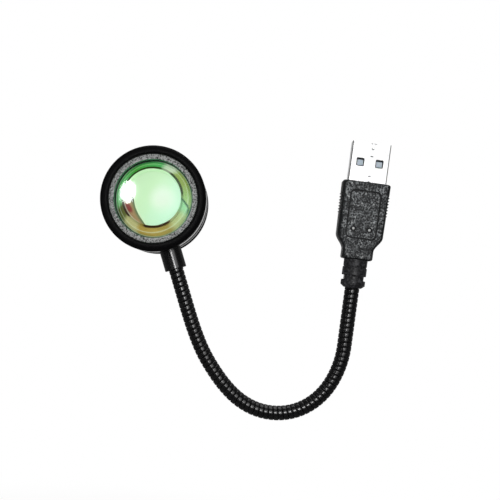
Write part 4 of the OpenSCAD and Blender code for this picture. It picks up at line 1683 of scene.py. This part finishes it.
    def end_lead(self, side: int, look: Dress, node: str) -> None:
        """Runs one lead's ends to its joint in the plug and to the board in the head.

        Args:
            side: which side of the neck it runs on.
            look: its finish.
            node: the CAD node that it stands for.
        """
        y = side * self.lead_off
        plug = [(side * 3.5, -0.06, -9.3), (side * 3.5, -0.06, -10.3), (side * 2.6, side * 0.1 - 0.06, -11.9),
                (side * 1.2, side * 0.35, -14.4), (side * 0.35, y, -16.2), (0, y, -18.3), (0, y, -20.9),
                (0, y, self.top + 1.5 * self.link)]
        head = [(0, y, self.link / 2 - self.ferrule), (0, y, -17.5), (0, y, -14.5), (0, y, -11.8),
                (side * 0.7, (y + 1.52) / 2, -9.8), (side * 1.5, 1.52, -8.2), (side * 1.6, 1.52, -7.2)]
        seat(self.lead_tail(f"{node}_tail", [Vector(p) for p in plug], look), "plug", node)
        seat(self.lead_tail(f"{node}_end", [self.head @ Vector(p) for p in head], look), "head")


# ------------------------------------------------------------------ the head
@dataclass
class ProjectorHead:
    """The round head: bezel, speckled ring, lens, coating, housing, cover and ferrule."""

    place: Matrix
    radius: float = 16.0
    front: float = -12.5
    rim_back: float = -8.5
    cover_front: float = 10.5
    back: float = 12.5
    bore: float = 13.4
    ring_bore: float = 11.82
    screw_count: int = 3
    screw_circle: float = 14.75
    screw_seat: float = 0.8
    coating_turn: float = -8.1

    @property
    def optics(self) -> Matrix:
        """The place of a lathe frame whose Z is the lens's axis."""
        return self.place @ Matrix.Rotation(math.radians(-90), 4, "X")

    @property
    def stem(self) -> Matrix:
        """The place of a lathe frame whose Z points from the head's middle to the neck."""
        return self.place @ Matrix.Rotation(math.radians(180), 4, "Y")

    @property
    def screw_places(self) -> list[Point]:
        """The axes of the cover's screws."""
        angles = [math.radians(360 / self.screw_count * k + 90) for k in range(self.screw_count)]
        return [(self.screw_circle * math.cos(a), self.screw_circle * math.sin(a)) for a in angles]

    def bezel(self) -> Object:
        """Makes the crowned bezel that holds the optics.

        Returns:
            The bezel.
        """
        crown = arc((14.3, self.front + 1.35), (1.7, 1.35), 0, -90, 14)
        mouth = arc((14.1, self.front + 0.55), (0.68, 0.55), -90, -180, 5)
        outline = [(self.bore, -6.6), (11.4, -6.6), (11.4, -5.62), (14.96, -5.62),
                   (14.96, self.rim_back + 0.02), (self.radius - 0.12, self.rim_back + 0.02),
                   (self.radius, self.rim_back - 0.12), *crown, *mouth, (self.bore, self.front + 0.8)]
        return lathe("head_bezel", outline, closed=True, steps=128)

    def ring(self) -> Object:
        """Makes the blasted ring, whose face slopes towards the lens.

        Returns:
            The ring, with its bore in the second finish, a painted green reflection.
        """
        outer = self.bore - 0.02
        outline = [(outer, -11.25), (outer - 0.06, -11.3), (outer - 0.2, -11.3),
                   (self.ring_bore + 0.1, -11.1), (self.ring_bore, -11.0), (self.ring_bore, -9.32), (outer, -9.32)]
        return split(lathe("lens_blasted_ring", outline, closed=True, steps=128),
                     lambda face: face.center.xy.length < self.ring_bore + 0.05)

    def lens(self) -> Object:
        """Makes the domed lens as a thick shell of glass.

        Returns:
            The lens, with its back in the second finish.
        """
        outer, inner = dome(-10.9, 43.7, 11.76, 40), dome(-10.05, 43.0, 11.3, 24)[::-1]
        outline = [*outer, (11.8, -9.29), (13.26, -9.29), (13.26, -8.12), (11.5, -8.12), *inner]
        return split(lathe("lens_dome", outline, steps=192),
                     lambda face: face.normal.z > 0 and face.center.xy.length < 11.4)

    def coating(self) -> Object:
        """Makes the coated glass: a shallow dome in a bowl.

        Returns:
            The glass.
        """
        disc = dome(-8.75, 65.0, 8.4, 14)
        outline = [*disc, (8.5, -8.12), (8.56, -7.62), (8.78, -7.56), (9.0, -7.62), (10.0, -7.95), (11.1, -8.3),
                   (11.4, -8.28), (11.5, -7.95), (11.7, -7.75), (13.26, -7.75), (13.26, -6.62), (0, -6.62)]
        return lathe("lens_coated_disc", outline, steps=128)

    def housing(self) -> Object:
        """Makes the barrel with the seat and the pad for the ferrule.

        Returns:
            The barrel.
        """
        r, end = self.radius, self.cover_front - 0.02
        outline = [(r - 0.14, self.rim_back), (r, self.rim_back + 0.14), (r, 4.2), (r - 0.1, 4.4), (r - 0.4, 4.5),
                   (r - 0.4, end), (13.6, end), (13.6, 5.62), (15.0, 5.62), (15.0, self.rim_back)]
        barrel = lathe("head_barrel", outline, closed=True, steps=128)
        carve(barrel, block("pad", (-3.95, 13.9, -3.78), (3.95, 15.3, 3.95)), "UNION")
        for radius, low, high in ((3.42, 15.575, 18.0), (2.02, 12.0, 18.0)):
            carve(barrel, turned(rod("seat_tool", radius, low, high, sides=48), "X", -90))
        return barrel

    def cover(self) -> Object:
        """Makes the rear cover with its round edge and three screw seats.

        Returns:
            The cover.
        """
        edge = arc((self.radius - 0.8, self.back - 0.8), (0.8, 0.8), 0, 90, 6)
        outline = [(0, self.cover_front), (12.6, self.cover_front), (12.6, 8.3), (13.3, 8.3), (13.56, 8.5),
                   (13.56, self.cover_front), (self.radius - 0.06, self.cover_front),
                   (self.radius, self.cover_front + 0.06), *edge, (0, self.back)]
        cover = lathe("head_back_cover", outline, steps=128)
        for place in self.screw_places:
            carve(cover, rod("seat_tool", 1.03, self.back - self.screw_seat, self.back + 1, place))
        return cover

    def screws(self) -> Object:
        """Makes the cover's three cross-headed screws, each turned a little further.

        Returns:
            All three, as one piece.
        """
        foot, top = self.back - self.screw_seat, self.back - 0.15
        head = lathe("screw", [(0, foot), (0.99, foot), (0.99, top - 0.18), (0.86, top - 0.04), (0.5, top), (0, top)],
                     steps=32)
        for w, d in ((0.62, 0.14), (0.14, 0.62)):
            carve(head, block("cross_tool", (-w, -d, top - 0.35), (w, d, top + 1)))
        return joined("head_cover_screws", spread(head, [("Z", 40 * k, (*place, 0))
                                                         for k, place in enumerate(self.screw_places)]))

    def ferrule(self) -> Object:
        """Makes the smooth ferrule with its bore and stud.

        Returns:
            The ferrule.
        """
        outline = [(1.3, 11.65), (1.85, 11.65), (2.0, 11.8), (2.0, 15.58), (3.3, 15.58), (3.4, 15.68),
                   (3.4, 21.8), (3.22, 22.0), (2.45, 22.0), (2.33, 21.88), (2.33, 17.5), (1.3, 17.5)]
        return lathe("neck_ferrule_tube", outline, closed=True, steps=64)

    def build(self, nodes: dict[str, Object]) -> Object:
        """Makes and dresses the head.

        Args:
            nodes: the frame's nodes.

        Returns:
            The lens.
        """
        optics, centre = self.optics, tuple(v * MM for v in self.place.translation)
        coat = Coating("colour coating", "filter_glass", centre, math.radians(self.coating_turn))
        pieces = {node: seat(dressed(make(), looks, place), "head", node) for node, make, looks, place in (
            ("front_bezel", self.bezel, [Look.BEZEL], optics),
            ("lens_retaining_ring", self.ring, [Look.RING, Look.BORE], optics),
            ("projection_lens", self.lens, [Look.GLASS, Look.GLASS_BACK], optics),
            ("colour_filter", self.coating, [coat], optics),
            ("head_housing", self.housing, [Look.BARREL], optics),
            ("rear_cover", self.cover, [Look.HOUSING], optics),
            ("rear_cover_screws", self.screws, [Look.SCREW], optics),
            ("neck_ferrule", self.ferrule, [Look.FERRULE], self.stem),
        )}
        for name, look in (("neck_lock_nut", Look.BRASS), ("lens_gasket", Look.RUBBER),
                           ("reflector_cup", Look.REFLECTOR), ("led_emitter", Look.PHOSPHOR),
                           ("led_board", Look.BOARD), ("series_resistor", Look.CHIP),
                           ("board_solder_joints", Look.SOLDER), ("heat_sink_plate", Look.SINK),
                           ("led_board_screws", Look.SCREW)):
            paint(nodes, look, name)
        return pieces["projection_lens"]


# ------------------------------------------------------------------ the studio
@dataclass(frozen=True)
class Softbox:
    """A soft lamp: a flat panel with so many corners, bright in front and dark behind."""

    name: str
    place: Sequence[float]
    size: Point
    level: float
    sides: int = 4
    aim: Sequence[float] = (-0.035, 0.0, -0.03)
    soft: float = 0.0
    spark: float = 0.0
    lens: Optional[bool] = None

    def panel(self) -> Object:
        """Makes the panel's bright side, a square or a rounded shape with more corners.

        Returns:
            The panel.
        """
        square = self.sides == 4
        bpy.ops.mesh.primitive_cylinder_add(vertices=self.sides, radius=math.sqrt(2) if square else 1, depth=0.02,
                                            rotation=(0, 0, math.pi / 4 if square else 0))
        panel = fresh(self.name)
        bpy.ops.object.transform_apply(location=True, rotation=True, scale=True)
        with editing(panel, "FACE"):
            pick(panel, "faces", lambda f: f.normal.z < 0.9)
            bpy.ops.mesh.delete(type="FACE")
        if not square:
            with editing(panel):
                everything()
                bpy.ops.mesh.bevel(offset=0.12, segments=3, affect="VERTICES")
        return panel

    def light(self) -> bpy.types.Material:
        """Makes the panel's glow, which may fade at its edges and be stronger in mirrors.

        Returns:
            The material.
        """
        g = Graph(bpy.data.materials.new(self.name))
        level: Any = self.level
        if self.spark:
            level = g.rays("Glossy")[0] * (self.spark - self.level) + self.level
        for name in "XY" if self.soft else "":
            level = g.place().axis(name).math("ABSOLUTE").step(1 - self.soft, 1.0, 1.0, 0.0) * level
        back = g.signal(g.node("ShaderNodeNewGeometry"), "Backfacing")
        return g.end(g.either(back, g.glow(level), g.node("ShaderNodeBsdfTransparent")))

    def build(self) -> None:
        """Hangs the panel up; the camera and the shadows don't see it."""
        panel = self.panel()
        facing = (Vector(self.place) - Vector(self.aim)).to_track_quat("-Z", "Y").to_matrix().to_4x4()
        panel.matrix_world = (Matrix.Translation(self.place) @ facing
                              @ Matrix.Diagonal((self.size[0] / 2, self.size[1] / 2, 1, 1)))
        panel.data.materials.append(self.light())
        panel.visible_camera = panel.visible_shadow = panel.visible_transmission = False

    def point_at(self, lens: Object) -> None:
        """Lights the lens alone, or all but the lens, where the lamp says so.

        Args:
            lens: the lens.
        """
        if self.lens is None:
            return
        group = bpy.data.collections.new(f"{self.name}_light")
        group.objects.link(lens)
        group.collection_objects[0].light_linking.link_state = "INCLUDE" if self.lens else "EXCLUDE"
        bpy.data.objects[self.name].light_linking.receiver_collection = group


@dataclass
class Studio:
    """The floor, the world, the lamps and the camera."""

    floor_z: float = -0.16
    ambient: float = 0.62
    behind: float = 0.12
    ahead: float = 0.035
    peak: float = 0.62
    camera_at: Sequence[float] = (-0.0354, -0.300, -0.0373)
    roll: float = 7.70
    lens: float = 69.03
    shift: Point = (0.02374, 0.0724)
    lamps: Sequence[Softbox] = (
        Softbox("window", (-0.310, -0.446, 0.0466), (0.134, 0.182), 26.0, 8, aim=(-0.072, -0.010, -0.014), lens=True),
        Softbox("key", (-0.312, -0.446, 0.043), (0.150, 0.176), 6.0, 6, aim=(-0.072, -0.010, -0.014), lens=False),
        Softbox("front", (0.064, -0.500, 0.072), (0.50, 0.50), 1.3, soft=0.65),
        Softbox("flash", (-0.036, -0.500, 0.000), (0.09, 0.12), 2.0, soft=0.3, spark=12.0, lens=False),
        Softbox("top", (0.0, 0.05, 0.60), (0.60, 0.60), 0.9),
    )

    def camera(self) -> None:
        """Sets the camera at the photograph's viewpoint, rolled so that the plug leans to the right."""
        data = bpy.data.cameras.new("camera")
        data.lens, data.sensor_width = self.lens, 36.0
        data.shift_x, data.shift_y = self.shift
        data.clip_start, data.clip_end = 0.01, 10.0
        obj = bpy.data.objects.new("camera", data)
        bpy.context.scene.collection.objects.link(obj)
        a = math.radians(self.roll)
        right, up, back = (math.cos(a), 0, math.sin(a)), (-math.sin(a), 0, math.cos(a)), (0, -1, 0)
        obj.matrix_world = Matrix.Translation(self.camera_at) @ Matrix((right, up, back)).transposed().to_4x4()
        bpy.context.scene.camera = obj

    def world(self) -> None:
        """A white surround for camera and glass rays, a dimmer one for mirrors, over a level ambient light."""
        bpy.context.scene.world = bpy.data.worlds.new("surround")
        g = Graph(bpy.context.scene.world)
        camera, glossy, glass, matt = g.rays("Camera", "Glossy", "Transmission", "Diffuse")
        y = g.signal(g.node("ShaderNodeTexCoord"), "Generated").axis("Y")
        mirror = glossy * (y.step(-0.35, 0.45, self.ahead, self.behind) + y.step(0.965, 0.985, 0.0, self.peak))
        level = camera.math("MAXIMUM", glass).math("MAXIMUM", mirror).math("MAXIMUM", matt * self.ambient)
        g.end(g.node("ShaderNodeBackground", None, Color=WHITE, Strength=level), "World")

    def floor(self) -> None:
        """A plain pale floor well below the lamp, which is carried by its plug."""
        bpy.ops.mesh.primitive_plane_add(size=6.0, location=(0, 0, self.floor_z))
        floor = fresh("floor")
        g = Graph(bpy.data.materials.new("floor"))
        camera, mirror, glass = g.rays("Camera", "Glossy", "Transmission")
        seen = camera.math("MAXIMUM", glass)
        x, y = (g.place().axis(name) for name in "XY")
        far = x.length(y).step(0.12, 0.28, 0.72, 1.0)
        ahead = (y - x.math("ABSOLUTE") * 5).step(0.4, 0.8, 0.0, self.peak)
        bright = g.glow(seen.math("MAXIMUM", y.step(-0.2, 0.3, self.ahead, self.behind) + ahead))
        matt = g.node("ShaderNodeBsdfDiffuse", None, Color=(0.93, 0.93, 0.93, 1))
        floor.data.materials.append(g.end(g.either((seen * far).math("MAXIMUM", mirror), matt, bright)))

    def build(self) -> None:
        """Sets the studio up."""
        bpy.context.scene.view_settings.view_transform = "Standard"
        self.camera()
        self.world()
        for lamp in self.lamps:
            lamp.build()
        self.floor()


def main() -> None:
    """Builds the studio and every sub-assembly in order."""
    logging.basicConfig(level=logging.INFO, format="%(message)s")
    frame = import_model()
    nodes = frame["nodes"]
    studio, neck = Studio(), Gooseneck()
    studio.build()
    UsbConnector().build(nodes)
    Grip().build(nodes)
    neck.build()
    lens = ProjectorHead(neck.head).build(nodes)
    for lamp in studio.lamps:
        lamp.point_at(lens)


if __name__ == "__main__":
    main()
